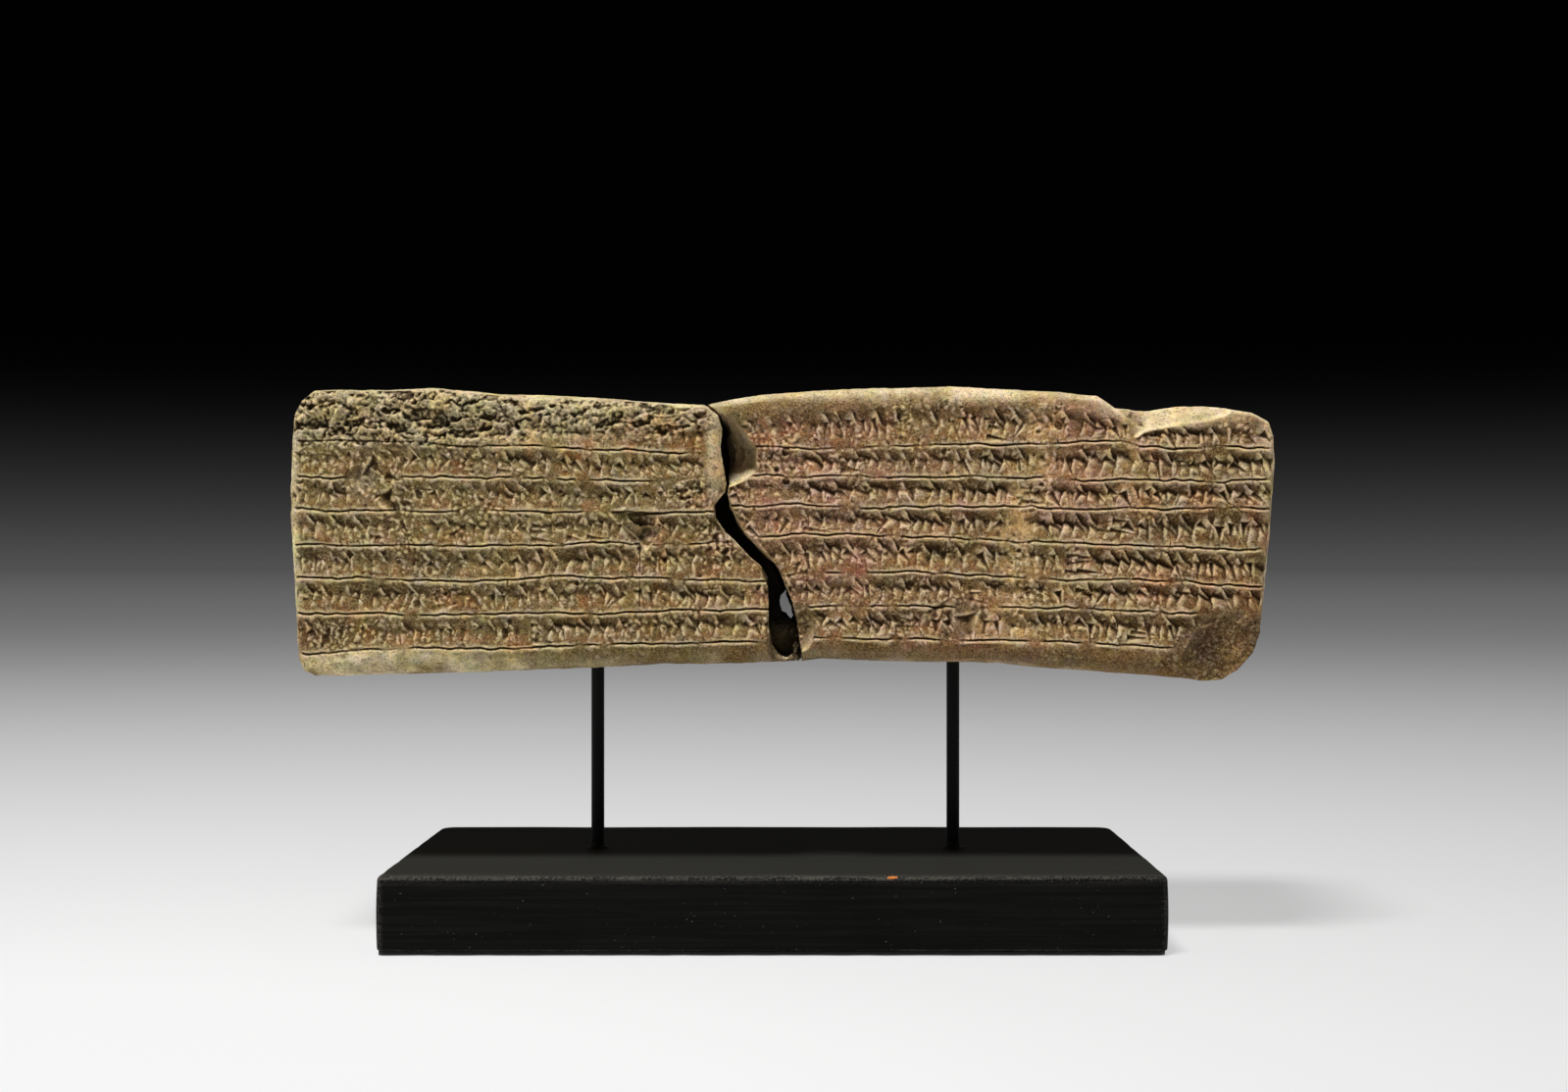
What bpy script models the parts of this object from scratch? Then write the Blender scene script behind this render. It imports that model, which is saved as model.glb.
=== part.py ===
"""A long fired-clay brick with ruled rows of wedge strokes along its narrow face.

The brick is broken in two. Each fragment stands on its own steel rod, in a black wooden
block with a felt pad under it. Metres, +Z up, the ruled face towards -Y, and the origin
on the ground under the middle of the block.
"""

import math
import random

import bmesh
import bpy
from mathutils import Matrix, Vector, noise

# Brick: its overall size, and where its ruled face stands
BRICK_WIDTH = 0.3606
BRICK_HEIGHT = 0.1086
BRICK_DEPTH = 0.100
BRICK_FACE_Y = -0.0475
BRICK_CLEAR_HEIGHT = 0.0666  # from the top of the block to the brick's lowest point

# Worn edges of the brick
TOP_EDGE_RADIUS = 0.006
BOTTOM_EDGE_RADIUS = 0.0075
END_EDGE_RADIUS = 0.0035
BREAK_EDGE_RADIUS = 0.0007
EDGE_STEPS = 3
# A rounding is kept within its corner: it shrinks step by step until this share of every
# edge is left
FILLET_EDGE_LEFT = 0.1
FILLET_SHRINK = 0.9
FILLET_PASSES = 30

# The break between the fragments
BREAK_GAP = 0.0006
MEETING_DEPTH = 0.012  # behind the face, where the broken sides come closest
BREAK_DRIFT = 0.0035   # how far the break wanders sideways towards the back

# Ruled lines and strokes
LINE_WIDTH = 0.0013
LINE_DEPTH = 0.0011
STROKE_PITCH = 0.0063
STROKE_WIDTH = 0.0038
STROKE_DEPTH = 0.0016
STROKE_LENGTH = 0.0086
LEVEL_STROKE_LENGTH = 0.0056
HOOK_LENGTH = 0.0034
STROKE_MARGIN = 0.0035  # kept free of strokes beside the break and the ends
STROKE_SEED = 11

# Weathered hollows in the upper left corner of the face
WEATHERED_LENGTH = 0.092
WEATHERED_PITCH = 0.0115
WEATHERED_RADIUS = 0.0052
WEATHERED_DEPTH = 0.0016

# The rough broken back of the brick
BACK_RELIEF = 0.006
BACK_LUMP_SIZE = 0.045
BACK_STEP = 0.018

# Rods
ROD_DIAMETER = 0.005
ROD_SIDES = 32
ROD_Y = 0.005
ROD_LEFT_X = -0.0719
ROD_RIGHT_X = 0.0655
ROD_IN_BLOCK = 0.018
ROD_IN_BRICK = 0.036  # above the brick's lowest point
FIT_GAP = 0.0003

# Block and felt
BLOCK_WIDTH = 0.280
BLOCK_DEPTH = 0.157
BLOCK_HEIGHT = 0.0266
BLOCK_X = -0.0036
BLOCK_FRONT_CORNER_RADIUS = 0.0035
BLOCK_BACK_CORNER_RADIUS = 0.007
BLOCK_TOP_EDGE_RADIUS = 0.0018
BLOCK_FOOT_EDGE_RADIUS = 0.0008
CORNER_STEPS = 5
FELT_THICKNESS = 0.0012
FELT_INSET = 0.0012

# A cutter reaches this far out of the surface that it cuts
OVERRUN = 0.0005

BLOCK_BOTTOM_Z = FELT_THICKNESS + FIT_GAP
BLOCK_TOP_Z = BLOCK_BOTTOM_Z + BLOCK_HEIGHT
BRICK_BOTTOM_Z = BLOCK_TOP_Z + BRICK_CLEAR_HEIGHT
BRICK_PLACE = Vector((-BRICK_WIDTH / 2, BRICK_FACE_Y, BRICK_BOTTOM_Z))

# The outline of the ruled face, in shares of the brick's width and height, from its left
# end and its lowest point. Each list runs away from the break.
LEFT_BOTTOM = (
    (0.459, 0.060), (0.383, 0.059), (0.287, 0.042), (0.192, 0.032), (0.096, 0.022),
)
LEFT_END = (
    (0.049, 0.017), (0.025, 0.019), (0.014, 0.036), (0.008, 0.072), (0.006, 0.184),
    (0.003, 0.390), (0.000, 0.546), (0.000, 0.666), (0.002, 0.822), (0.004, 0.904),
    (0.011, 0.949), (0.025, 0.984),
)
LEFT_TOP = (
    (0.359, 0.948), (0.311, 0.960), (0.263, 0.971), (0.212, 0.972), (0.192, 0.981),
    (0.144, 0.994), (0.096, 0.987), (0.049, 0.989),
)
RIGHT_BOTTOM = (
    (0.539, 0.076), (0.598, 0.068), (0.717, 0.062), (0.765, 0.045), (0.861, 0.022),
)
RIGHT_END = (
    (0.906, 0.010), (0.927, 0.000), (0.946, 0.006), (0.963, 0.043), (0.978, 0.099),
    (0.985, 0.164), (0.988, 0.286), (0.994, 0.469), (0.998, 0.647), (1.000, 0.749),
    (0.999, 0.831), (0.993, 0.880), (0.976, 0.909),
)
RIGHT_TOP = (
    (0.455, 0.960), (0.478, 0.971), (0.526, 0.984), (0.574, 0.991), (0.669, 1.000),
    (0.717, 0.992), (0.789, 0.979), (0.820, 0.968), (0.839, 0.926), (0.872, 0.917),
    (0.903, 0.933), (0.931, 0.933), (0.953, 0.923),
)

# The break from top to bottom, in shares: its height, how far across it lies, how much is
# chipped off the left and off the right fragment at the face, and how much is missing
# from the left fragment all the way through.
BREAK = (
    (0.938, 0.4210, 0.000, 0.000, 0.000),
    (0.901, 0.4350, 0.000, 0.000, 0.000),
    (0.854, 0.4395, 0.000, 0.000, 0.000),
    (0.790, 0.4380, 0.000, 0.000, 0.000),
    (0.708, 0.4420, 0.000, 0.000, 0.000),
    (0.666, 0.4440, 0.000, 0.000, 0.000),
    (0.634, 0.4425, 0.000, 0.000, 0.000),
    (0.590, 0.4430, 0.011, 0.003, 0.000),
    (0.541, 0.4490, 0.015, 0.004, 0.000),
    (0.498, 0.4570, 0.013, 0.004, 0.000),
    (0.432, 0.4770, 0.010, 0.004, 0.000),
    (0.385, 0.4900, 0.011, 0.004, 0.000),
    (0.317, 0.4980, 0.012, 0.004, 0.000),
    (0.270, 0.5050, 0.018, 0.003, 0.008),
    (0.225, 0.5095, 0.022, 0.002, 0.011),
    (0.195, 0.5115, 0.025, 0.002, 0.000),
    (0.155, 0.5130, 0.025, 0.002, 0.000),
    (0.067, 0.5170, 0.016, 0.002, 0.000),
)

# The ruled lines of each fragment from top to bottom, in shares, each from left to right
LEFT_LINES = (
    ((0.011, 0.815), (0.234, 0.796), (0.363, 0.776), (0.438, 0.776)),
    ((0.011, 0.693), (0.201, 0.690), (0.340, 0.677), (0.443, 0.690)),
    ((0.009, 0.584), (0.134, 0.576), (0.363, 0.574), (0.438, 0.577)),
    ((0.009, 0.467), (0.179, 0.455), (0.321, 0.470), (0.463, 0.468)),
    ((0.009, 0.353), (0.179, 0.341), (0.293, 0.356), (0.486, 0.338)),
    ((0.010, 0.234), (0.124, 0.227), (0.343, 0.237), (0.490, 0.247)),
    ((0.015, 0.098), (0.144, 0.115), (0.323, 0.128), (0.492, 0.138)),
)
RIGHT_LINES = (
    ((0.463, 0.796), (0.524, 0.789), (0.701, 0.802), (0.844, 0.811), (0.862, 0.789), (0.987, 0.789)),
    ((0.467, 0.693), (0.655, 0.694), (0.781, 0.687), (0.902, 0.677), (0.987, 0.683)),
    ((0.443, 0.599), (0.561, 0.594), (0.781, 0.587), (0.987, 0.584)),
    ((0.455, 0.492), (0.576, 0.502), (0.701, 0.482), (0.815, 0.462), (0.900, 0.457), (0.987, 0.442)),
    ((0.492, 0.359), (0.602, 0.374), (0.751, 0.355), (0.881, 0.341), (0.985, 0.326)),
    ((0.508, 0.260), (0.640, 0.257), (0.791, 0.250), (0.913, 0.234)),
    ((0.512, 0.148), (0.634, 0.145), (0.761, 0.137), (0.888, 0.121)),
)
TOP_OF_FIRST_ROW = ((0.000, 0.910), (0.350, 0.885), (0.420, 0.870), (0.660, 0.925), (0.830, 0.905),
                    (0.850, 0.870), (1.000, 0.870))

# Chips, each with its rim on a face in shares, its deepest spot in shares, and its depth
LEFT_CHIPS = (
    (((0.333, 0.547), (0.355, 0.528), (0.379, 0.525), (0.371, 0.482), (0.361, 0.437), (0.351, 0.488)),
     (0.361, 0.475), 0.0042),
    (((0.051, 0.680), (0.062, 0.726), (0.084, 0.720), (0.100, 0.673), (0.084, 0.627), (0.062, 0.634)),
     (0.072, 0.690), 0.0019),
    (((0.104, 0.581), (0.108, 0.622), (0.124, 0.607), (0.128, 0.548), (0.114, 0.515)),
     (0.114, 0.580), 0.0015),
)
RIGHT_CHIPS = (
    (((0.425, 0.905), (0.448, 0.895), (0.458, 0.858), (0.466, 0.815), (0.474, 0.792), (0.474, 0.706),
      (0.463, 0.677), (0.449, 0.655), (0.425, 0.650)),
     (0.442, 0.775), 0.0135),
    (((0.827, 1.040), (0.831, 0.920), (0.846, 0.872), (0.854, 0.812), (0.868, 0.836), (0.892, 0.852),
      (0.931, 0.872), (0.956, 0.895), (0.972, 0.940), (0.972, 1.040)),
     (0.895, 1.020), 0.0120),
    (((0.664, 0.184), (0.670, 0.277), (0.686, 0.303), (0.703, 0.250), (0.699, 0.168), (0.676, 0.121)),
     (0.684, 0.200), 0.0018),
    (((0.902, 0.092), (0.918, 0.178), (0.950, 0.226), (0.974, 0.190), (0.977, 0.100), (0.962, -0.030),
      (0.926, -0.050), (0.906, 0.006)),
     (0.928, 0.058), 0.0052),
    (((0.505, 0.115), (0.514, 0.204), (0.523, 0.224), (0.530, 0.184), (0.528, 0.118), (0.516, 0.092)),
     (0.513, 0.150), 0.0034),
)
# How far a chip has narrowed at shares of its depth
CHIP_PROFILE = ((0.35, 0.90), (0.75, 0.66), (1.00, 0.30))
STROKE_FREE_GROWTH = 1.3  # strokes stay off a chip's rim, grown by this


def make_material(name, colour, roughness, metallic=0.0):
    material = bpy.data.materials.new(name)
    material.use_nodes = True
    shader = material.node_tree.nodes["Principled BSDF"]
    shader.inputs["Base Color"].default_value = (*colour, 1.0)
    shader.inputs["Roughness"].default_value = roughness
    shader.inputs["Metallic"].default_value = metallic
    return material


def make_collection(name):
    collection = bpy.data.collections.new(name)
    bpy.context.scene.collection.children.link(collection)
    return collection


def make_object(name, bm, collection, place=(0, 0, 0), material=None):
    """Turn a bmesh, modelled about its own origin, into an object at its place."""
    bmesh.ops.recalc_face_normals(bm, faces=bm.faces)
    mesh = bpy.data.meshes.new(name)
    bm.to_mesh(mesh)
    bm.free()
    if material:
        mesh.materials.append(material)
    item = bpy.data.objects.new(name, mesh)
    item.location = place
    collection.objects.link(item)
    return item


def make_cutter(name, bm, collection, place):
    cutter = make_object(name, bm, collection, place)
    cutter.hide_render = True
    cutter.display_type = "WIRE"
    return cutter


def cut(item, cutter):
    modifier = item.modifiers.new(cutter.name, "BOOLEAN")
    modifier.operation = "DIFFERENCE"
    modifier.object = cutter


def on_brick(u, v, depth=0.0):
    """A point of the brick, from shares of the face and a depth behind it."""
    return Vector((u * BRICK_WIDTH, depth, v * BRICK_HEIGHT))


def height_at(points, u):
    """The height of a line of points at a share of the width, level past both its ends."""
    if u <= points[0][0]:
        return points[0][1]
    for (u0, v0), (u1, v1) in zip(points, points[1:]):
        if u <= u1:
            return v0 + (v1 - v0) * (u - u0) / (u1 - u0)
    return points[-1][1]


def inside(outline, u, v):
    """Whether a point lies inside a closed outline."""
    crossings = 0
    for (u0, v0), (u1, v1) in zip(outline, outline[1:] + outline[:1]):
        if (v0 > v) != (v1 > v) and u < u0 + (u1 - u0) * (v - v0) / (v1 - v0):
            crossings += 1
    return crossings % 2 == 1


def grown(outline, factor):
    """An outline scaled about the mean of its points."""
    u_mid = sum(u for u, _ in outline) / len(outline)
    v_mid = sum(v for _, v in outline) / len(outline)
    return tuple((u_mid + (u - u_mid) * factor, v_mid + (v - v_mid) * factor) for u, v in outline)


def loft(bm, rings):
    """Join rings of equally many points into one closed body with a cap at each end."""
    loops = [[bm.verts.new(point) for point in ring] for ring in rings]
    count = len(loops[0])
    for near, far in zip(loops, loops[1:]):
        for i in range(count):
            j = (i + 1) % count
            bm.faces.new((near[i], near[j], far[j], far[i]))
    bm.faces.new(loops[0])
    bm.faces.new(loops[-1])


def break_side(side, depth):
    """Points down one side of the break, at one depth behind the face.

    The side is -1 for the left fragment and 1 for the right one.
    """
    to_meeting = min(depth / MEETING_DEPTH, 1.0)
    to_back = max(depth - MEETING_DEPTH, 0.0) / (BRICK_DEPTH - MEETING_DEPTH)
    points = []
    for v, across, chipped_left, chipped_right, missing in BREAK:
        chipped = chipped_left if side < 0 else chipped_right
        through = missing if side < 0 else 0.0
        away = chipped + (through - chipped) * to_meeting
        x = (across + side * away) * BRICK_WIDTH + side * BREAK_GAP / 2
        if not missing:
            x += BREAK_DRIFT * math.sin(to_back * math.pi / 2)
        points.append(Vector((x, v * BRICK_HEIGHT)))
    return points


def edge_insets(outline, radii):
    """How each corner of an outline moves when every edge moves inwards by its radius."""
    count = len(outline)
    area = sum(outline[i - 1].cross(outline[i]) for i in range(count))
    turn = 1 if area > 0 else -1
    insets = []
    for i in range(count):
        before = (outline[i] - outline[i - 1]).normalized()
        after = (outline[(i + 1) % count] - outline[i]).normalized()
        inward_before = Vector((-before.y, before.x)) * turn
        inward_after = Vector((-after.y, after.x)) * turn
        radius_before, radius_after = radii[i - 1], radii[i]
        bend = inward_before.cross(inward_after)
        if abs(bend) > 0.6:
            inset = Vector((
                radius_before * inward_after.y - radius_after * inward_before.y,
                radius_after * inward_before.x - radius_before * inward_after.x,
            )) / bend
        else:
            inset = (inward_before + inward_after).normalized() * (radius_before + radius_after) / 2
        insets.append(inset)
    return within_corners(outline, insets)


def within_corners(outline, insets):
    """Insets made smaller wherever an edge between two corners would turn round."""
    count = len(outline)
    for _ in range(FILLET_PASSES):
        for i in range(count):
            j = (i + 1) % count
            edge = outline[j] - outline[i]
            moved = edge + insets[j] - insets[i]
            if moved.dot(edge) < FILLET_EDGE_LEFT * edge.dot(edge):
                insets[i] = insets[i] * FILLET_SHRINK
                insets[j] = insets[j] * FILLET_SHRINK
    return insets


def fragment_outline(side, bottom, end, top, depth):
    """The outline of a fragment at one depth, down the break and back round to its top."""
    rim = [Vector((u * BRICK_WIDTH, v * BRICK_HEIGHT)) for u, v in bottom + end + tuple(reversed(top))]
    return break_side(side, depth) + rim


def fragment_radii(bottom, end, top):
    """The rounding of each edge of a fragment's outline, in the outline's order."""
    return ([BREAK_EDGE_RADIUS] * (len(BREAK) - 1) + [BOTTOM_EDGE_RADIUS] * (1 + len(bottom))
            + [END_EDGE_RADIUS] * len(end) + [TOP_EDGE_RADIUS] * len(top))


def make_fragment(name, side, bottom, end, top, collection, material):
    """A fragment as a loft from its worn front rim, along the break, to its flat back."""
    radii = fragment_radii(bottom, end, top)
    outline = fragment_outline(side, bottom, end, top, 0.0)
    insets = edge_insets(outline, radii)
    rings = []
    for step in range(EDGE_STEPS + 1):
        angle = math.pi / 2 * step / EDGE_STEPS
        ring = []
        for i, (point, inset) in enumerate(zip(outline, insets)):
            moved = point + inset * (1 - math.sin(angle))
            ring.append((moved.x, max(radii[i - 1], radii[i]) * (1 - math.cos(angle)), moved.y))
        rings.append(ring)
    for depth in (MEETING_DEPTH, BRICK_DEPTH / 2, BRICK_DEPTH):
        inner = fragment_outline(side, bottom, end, top, depth)
        rings.append([(point.x, depth, point.y) for point in inner])
    bm = bmesh.new()
    loft(bm, rings)
    return make_object(name, bm, collection, BRICK_PLACE, material)


def add_line(bm, points):
    """A ruled line, cut as a groove with a steep upper side and a sloping lower one."""
    rings = []
    for u, v in points:
        middle = on_brick(u, v)
        rings.append([
            middle + Vector((0, -OVERRUN, LINE_WIDTH * 0.55)),
            middle + Vector((0, -OVERRUN, -LINE_WIDTH * 0.95)),
            middle + Vector((0, LINE_DEPTH, LINE_WIDTH * 0.25)),
        ])
    loft(bm, rings)


def add_wedge(bm, x, z, angle, length, width):
    """A wedge-shaped dent, with its wide head at x, z and its thin tail towards the angle."""
    sides = 3
    growth = (STROKE_DEPTH + OVERRUN) / STROKE_DEPTH
    stretch = Matrix.Diagonal((
        growth * width / (2 * math.sin(math.pi / sides)),
        growth * length / (1 + math.cos(math.pi / sides)),
        STROKE_DEPTH + OVERRUN,
        1,
    ))
    head_to_middle = length * math.cos(math.pi / sides) / (1 + math.cos(math.pi / sides))
    centre = Vector((
        x + math.cos(angle) * head_to_middle,
        (STROKE_DEPTH - OVERRUN) / 2,
        z + math.sin(angle) * head_to_middle,
    ))
    # The cone's first corner points along +Y and its tip along +Z. The tip is turned into
    # the face, and the first corner along the stroke.
    tip_inwards = Matrix.Rotation(-math.pi / 2, 4, "X")
    along_stroke = Matrix.Rotation(-angle - math.pi / 2, 4, "Y")
    bmesh.ops.create_cone(
        bm, cap_ends=True, segments=sides, radius1=1, radius2=0, depth=1,
        matrix=Matrix.Translation(centre) @ along_stroke @ tip_inwards @ stretch,
    )


def add_chip(bm, rim, deepest, depth):
    """A hollow that narrows from its rim on the face to a small floor at its deepest spot."""
    rings = [[on_brick(u, v, -OVERRUN * 3) for u, v in rim]]
    for sunk, width in CHIP_PROFILE:
        rings.append([
            on_brick(deepest[0] + (u - deepest[0]) * width, deepest[1] + (v - deepest[1]) * width,
                     sunk * depth)
            for u, v in rim
        ])
    loft(bm, rings)


def add_back_break(bm):
    """What is broken off the back: a slab whose front is an uneven, lumpy sheet."""
    width = BRICK_WIDTH + 2 * BACK_STEP
    height = BRICK_HEIGHT + 2 * BACK_STEP
    upright = Matrix.Rotation(math.pi / 2, 4, "X")
    stretch = Matrix.Diagonal((width, height, 1, 1))
    middle = Matrix.Translation(on_brick(0.5, 0.5, BRICK_DEPTH))
    sheet = bmesh.ops.create_grid(
        bm, x_segments=round(width / BACK_STEP), y_segments=round(height / BACK_STEP),
        size=0.5, matrix=middle @ upright @ stretch,
    )
    for vert in sheet["verts"]:
        vert.co.y -= BACK_RELIEF * (0.5 + 0.5 * noise.noise(vert.co / BACK_LUMP_SIZE))
    thick = bmesh.ops.extrude_face_region(bm, geom=bm.faces[:])
    for item in thick["geom"]:
        if isinstance(item, bmesh.types.BMVert):
            item.co.y = BRICK_DEPTH + BACK_RELIEF


def add_weathering(bm):
    """A row of shallow round hollows along the upper left corner of the face."""
    picker = random.Random(STROKE_SEED)
    for i in range(round(WEATHERED_LENGTH / WEATHERED_PITCH)):
        u = (END_EDGE_RADIUS + WEATHERED_PITCH * (i + 0.6)) / BRICK_WIDTH
        v = height_at(LEFT_LINES[0], u) + picker.uniform(0.045, 0.085)
        flat = Matrix.Diagonal((1, WEATHERED_DEPTH / WEATHERED_RADIUS, picker.uniform(0.6, 0.9), 1))
        bmesh.ops.create_icosphere(
            bm, subdivisions=1, radius=WEATHERED_RADIUS,
            matrix=Matrix.Translation(on_brick(u, v)) @ flat,
        )


def on_fragments(u, v):
    """Which fragment holds a point of the face: the lines of that one, or None in the break."""
    down = [(-row[0], row[1] - row[2]) for row in BREAK]
    left_edge = height_at(down, -v) * BRICK_WIDTH
    right_edge = height_at([(-row[0], row[1] + row[3]) for row in BREAK], -v) * BRICK_WIDTH
    x = u * BRICK_WIDTH
    if x < left_edge - STROKE_MARGIN:
        return LEFT_LINES
    if x > right_edge + STROKE_MARGIN:
        return RIGHT_LINES
    return None


def stroke_places(offset):
    """Spots along every row: each one's number, its x, and its row's bottom and top there."""
    off_chips = [grown(chip[0], STROKE_FREE_GROWTH) for chip in LEFT_CHIPS + RIGHT_CHIPS]
    free = END_EDGE_RADIUS + STROKE_MARGIN
    count = int((BRICK_WIDTH - 2 * free) / STROKE_PITCH)
    for row in range(len(LEFT_LINES)):
        for i in range(count):
            u = (free + STROKE_PITCH * (i + offset)) / BRICK_WIDTH
            guess = height_at(LEFT_LINES[row], u) + 0.05
            lines = on_fragments(u, guess)
            if not lines or u > lines[row][-1][0]:
                continue
            lower = height_at(lines[row], u)
            upper = height_at(lines[row - 1], u) if row else height_at(TOP_OF_FIRST_ROW, u)
            middle = (lower + upper) / 2
            weathered = row == 0 and u * BRICK_WIDTH < WEATHERED_LENGTH
            if weathered or any(inside(rim, u, middle) for rim in off_chips):
                continue
            yield i, u * BRICK_WIDTH, lower * BRICK_HEIGHT, upper * BRICK_HEIGHT


def add_upright_strokes(bm, picker):
    """Strokes that hang from the top of their row, and short hooks between them."""
    for _, x, lower, upper in stroke_places(offset=0.25):
        kind = picker.random()
        x += picker.uniform(-0.05, 0.05) * STROKE_PITCH
        room = upper - lower
        if kind < 0.64:
            length = min(STROKE_LENGTH, room * 0.68) * picker.uniform(0.85, 1.0)
            top = upper - room * picker.uniform(0.14, 0.20)
            add_wedge(bm, x, top, -math.pi / 2 + picker.uniform(-0.12, 0.12), length, STROKE_WIDTH)
        elif kind < 0.92:
            top = upper - room * picker.uniform(0.25, 0.45)
            slant = picker.choice((-0.25, -0.75)) * math.pi
            back = math.cos(slant) * HOOK_LENGTH / 2
            add_wedge(bm, x - back, top, slant, HOOK_LENGTH, STROKE_WIDTH)


def add_level_strokes(bm, picker):
    """Strokes that run to the right, high and low in their row by turns."""
    for i, x, lower, upper in stroke_places(offset=0.55):
        if picker.random() < 0.42:
            continue
        height = (0.36, 0.70)[i % 2] + picker.uniform(-0.05, 0.05)
        z = lower + (upper - lower) * height
        tilt = picker.uniform(-0.12, 0.12)
        add_wedge(bm, x, z, tilt, LEVEL_STROKE_LENGTH, STROKE_WIDTH * 0.8)


def add_rod_shape(bm, x, radius, bottom, top):
    centre = Vector((x, ROD_Y, (bottom + top) / 2))
    bmesh.ops.create_cone(
        bm, cap_ends=True, segments=ROD_SIDES, radius1=radius, radius2=radius,
        depth=top - bottom, matrix=Matrix.Translation(centre),
    )


def make_brick(collection, cutters):
    """Both fragments, with the lines, strokes, chips and rod holes cut into them."""
    left = make_fragment(
        "brick_left", -1, LEFT_BOTTOM, LEFT_END, LEFT_TOP, collection,
        make_material("fired_clay_olive", (0.21, 0.155, 0.080), 0.92),
    )
    right = make_fragment(
        "brick_right", 1, RIGHT_BOTTOM, RIGHT_END, RIGHT_TOP, collection,
        make_material("fired_clay_pink", (0.235, 0.160, 0.092), 0.92),
    )

    picker = random.Random(STROKE_SEED)
    stroke_cutters = []
    for name, add_strokes in (("upright_strokes", add_upright_strokes), ("level_strokes", add_level_strokes)):
        bm = bmesh.new()
        add_strokes(bm, picker)
        stroke_cutters.append(make_cutter(name, bm, cutters, BRICK_PLACE))

    bm = bmesh.new()
    add_back_break(bm)
    back_cutter = make_cutter("broken_back", bm, cutters, BRICK_PLACE)

    for fragment, lines, chips in ((left, LEFT_LINES, LEFT_CHIPS), (right, RIGHT_LINES, RIGHT_CHIPS)):
        cut(fragment, back_cutter)
        bm = bmesh.new()
        for points in lines:
            add_line(bm, points)
        cut(fragment, make_cutter(fragment.name + "_lines", bm, cutters, BRICK_PLACE))
        for cutter in stroke_cutters:
            cut(fragment, cutter)
        bm = bmesh.new()
        for rim, deepest, depth in chips:
            add_chip(bm, rim, deepest, depth)
        cut(fragment, make_cutter(fragment.name + "_chips", bm, cutters, BRICK_PLACE))

    bm = bmesh.new()
    add_weathering(bm)
    cut(left, make_cutter("weathered_hollows", bm, cutters, BRICK_PLACE))
    return left, right


def make_rods(collection, cutters, left, right, block):
    """A rod for each fragment, with a blind hole for each end of it."""
    steel = make_material("black_steel", (0.010, 0.010, 0.009), 0.38, 0.4)
    bottom = BLOCK_TOP_Z - ROD_IN_BLOCK
    top = BRICK_BOTTOM_Z + ROD_IN_BRICK
    for name, x, fragment in (("rod_left", ROD_LEFT_X, left), ("rod_right", ROD_RIGHT_X, right)):
        bm = bmesh.new()
        add_rod_shape(bm, 0, ROD_DIAMETER / 2, 0, top - bottom)
        rod = make_object(name, bm, collection, (x, 0, bottom), steel)
        rod.data.shade_smooth()
        rod.data.set_sharp_from_angle(angle=math.radians(40))

        bm = bmesh.new()
        add_rod_shape(bm, x, ROD_DIAMETER / 2 + FIT_GAP, bottom - FIT_GAP, top + FIT_GAP)
        hole = make_cutter(name + "_hole", bm, cutters, (0, 0, 0))
        cut(fragment, hole)
        cut(block, hole)


def add_rounded_slab(bm, width, depth, bottom, top, front_radius, back_radius):
    """A slab with rounded upright corners, larger or smaller at the back than in front."""
    size = Matrix.Diagonal((width, depth, top - bottom, 1))
    middle = Matrix.Translation((0, 0, (bottom + top) / 2))
    bmesh.ops.create_cube(bm, size=1, matrix=middle @ size)
    for side, radius in ((-1, front_radius), (1, back_radius)):
        corners = [
            edge for edge in bm.edges
            if abs(edge.verts[0].co.z - edge.verts[1].co.z) > (top - bottom) / 2
            and all(vert.co.y * side > 0 for vert in edge.verts)
        ]
        bmesh.ops.bevel(bm, geom=corners, offset=radius, segments=CORNER_STEPS, profile=0.5,
                        affect="EDGES", material=-1)


def round_rim(bm, height, radius, steps):
    """Round off the edges that lie all round at one height."""
    rim = [edge for edge in bm.edges if all(abs(vert.co.z - height) < 1e-6 for vert in edge.verts)]
    bmesh.ops.bevel(bm, geom=rim, offset=radius, segments=steps, profile=0.5, affect="EDGES", material=-1)


def make_block(collection):
    bm = bmesh.new()
    add_rounded_slab(bm, BLOCK_WIDTH, BLOCK_DEPTH, 0, BLOCK_HEIGHT,
                     BLOCK_FRONT_CORNER_RADIUS, BLOCK_BACK_CORNER_RADIUS)
    round_rim(bm, BLOCK_HEIGHT, BLOCK_TOP_EDGE_RADIUS, 3)
    round_rim(bm, 0, BLOCK_FOOT_EDGE_RADIUS, 2)
    paint = make_material("black_painted_wood", (0.010, 0.010, 0.009), 0.6)
    return make_object("base_block", bm, collection, (BLOCK_X, 0, BLOCK_BOTTOM_Z), paint)


def make_felt(collection):
    bm = bmesh.new()
    add_rounded_slab(bm, BLOCK_WIDTH - 2 * FELT_INSET, BLOCK_DEPTH - 2 * FELT_INSET, 0, FELT_THICKNESS,
                     BLOCK_FRONT_CORNER_RADIUS - FELT_INSET, BLOCK_BACK_CORNER_RADIUS - FELT_INSET)
    felt = make_material("dark_felt", (0.006, 0.006, 0.006), 0.95)
    return make_object("base_felt", bm, collection, (BLOCK_X, 0, 0), felt)


def main():
    for old in list(bpy.data.objects):
        bpy.data.objects.remove(old)
    collection = make_collection("inscribed_brick")
    cutters = make_collection("cutters")
    left, right = make_brick(collection, cutters)
    block = make_block(collection)
    make_felt(collection)
    make_rods(collection, cutters, left, right, block)


main()
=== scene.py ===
"""The looks of an inscribed brick: two fired-clay fragments on steel rods in a black block.

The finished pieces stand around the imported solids. Metres, +Z up, the ruled face to -Y.
"""

import itertools
import math

import bmesh
import bpy
import numpy as np
from mathutils import Matrix, Vector
from mathutils.bvhtree import BVHTree


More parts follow.
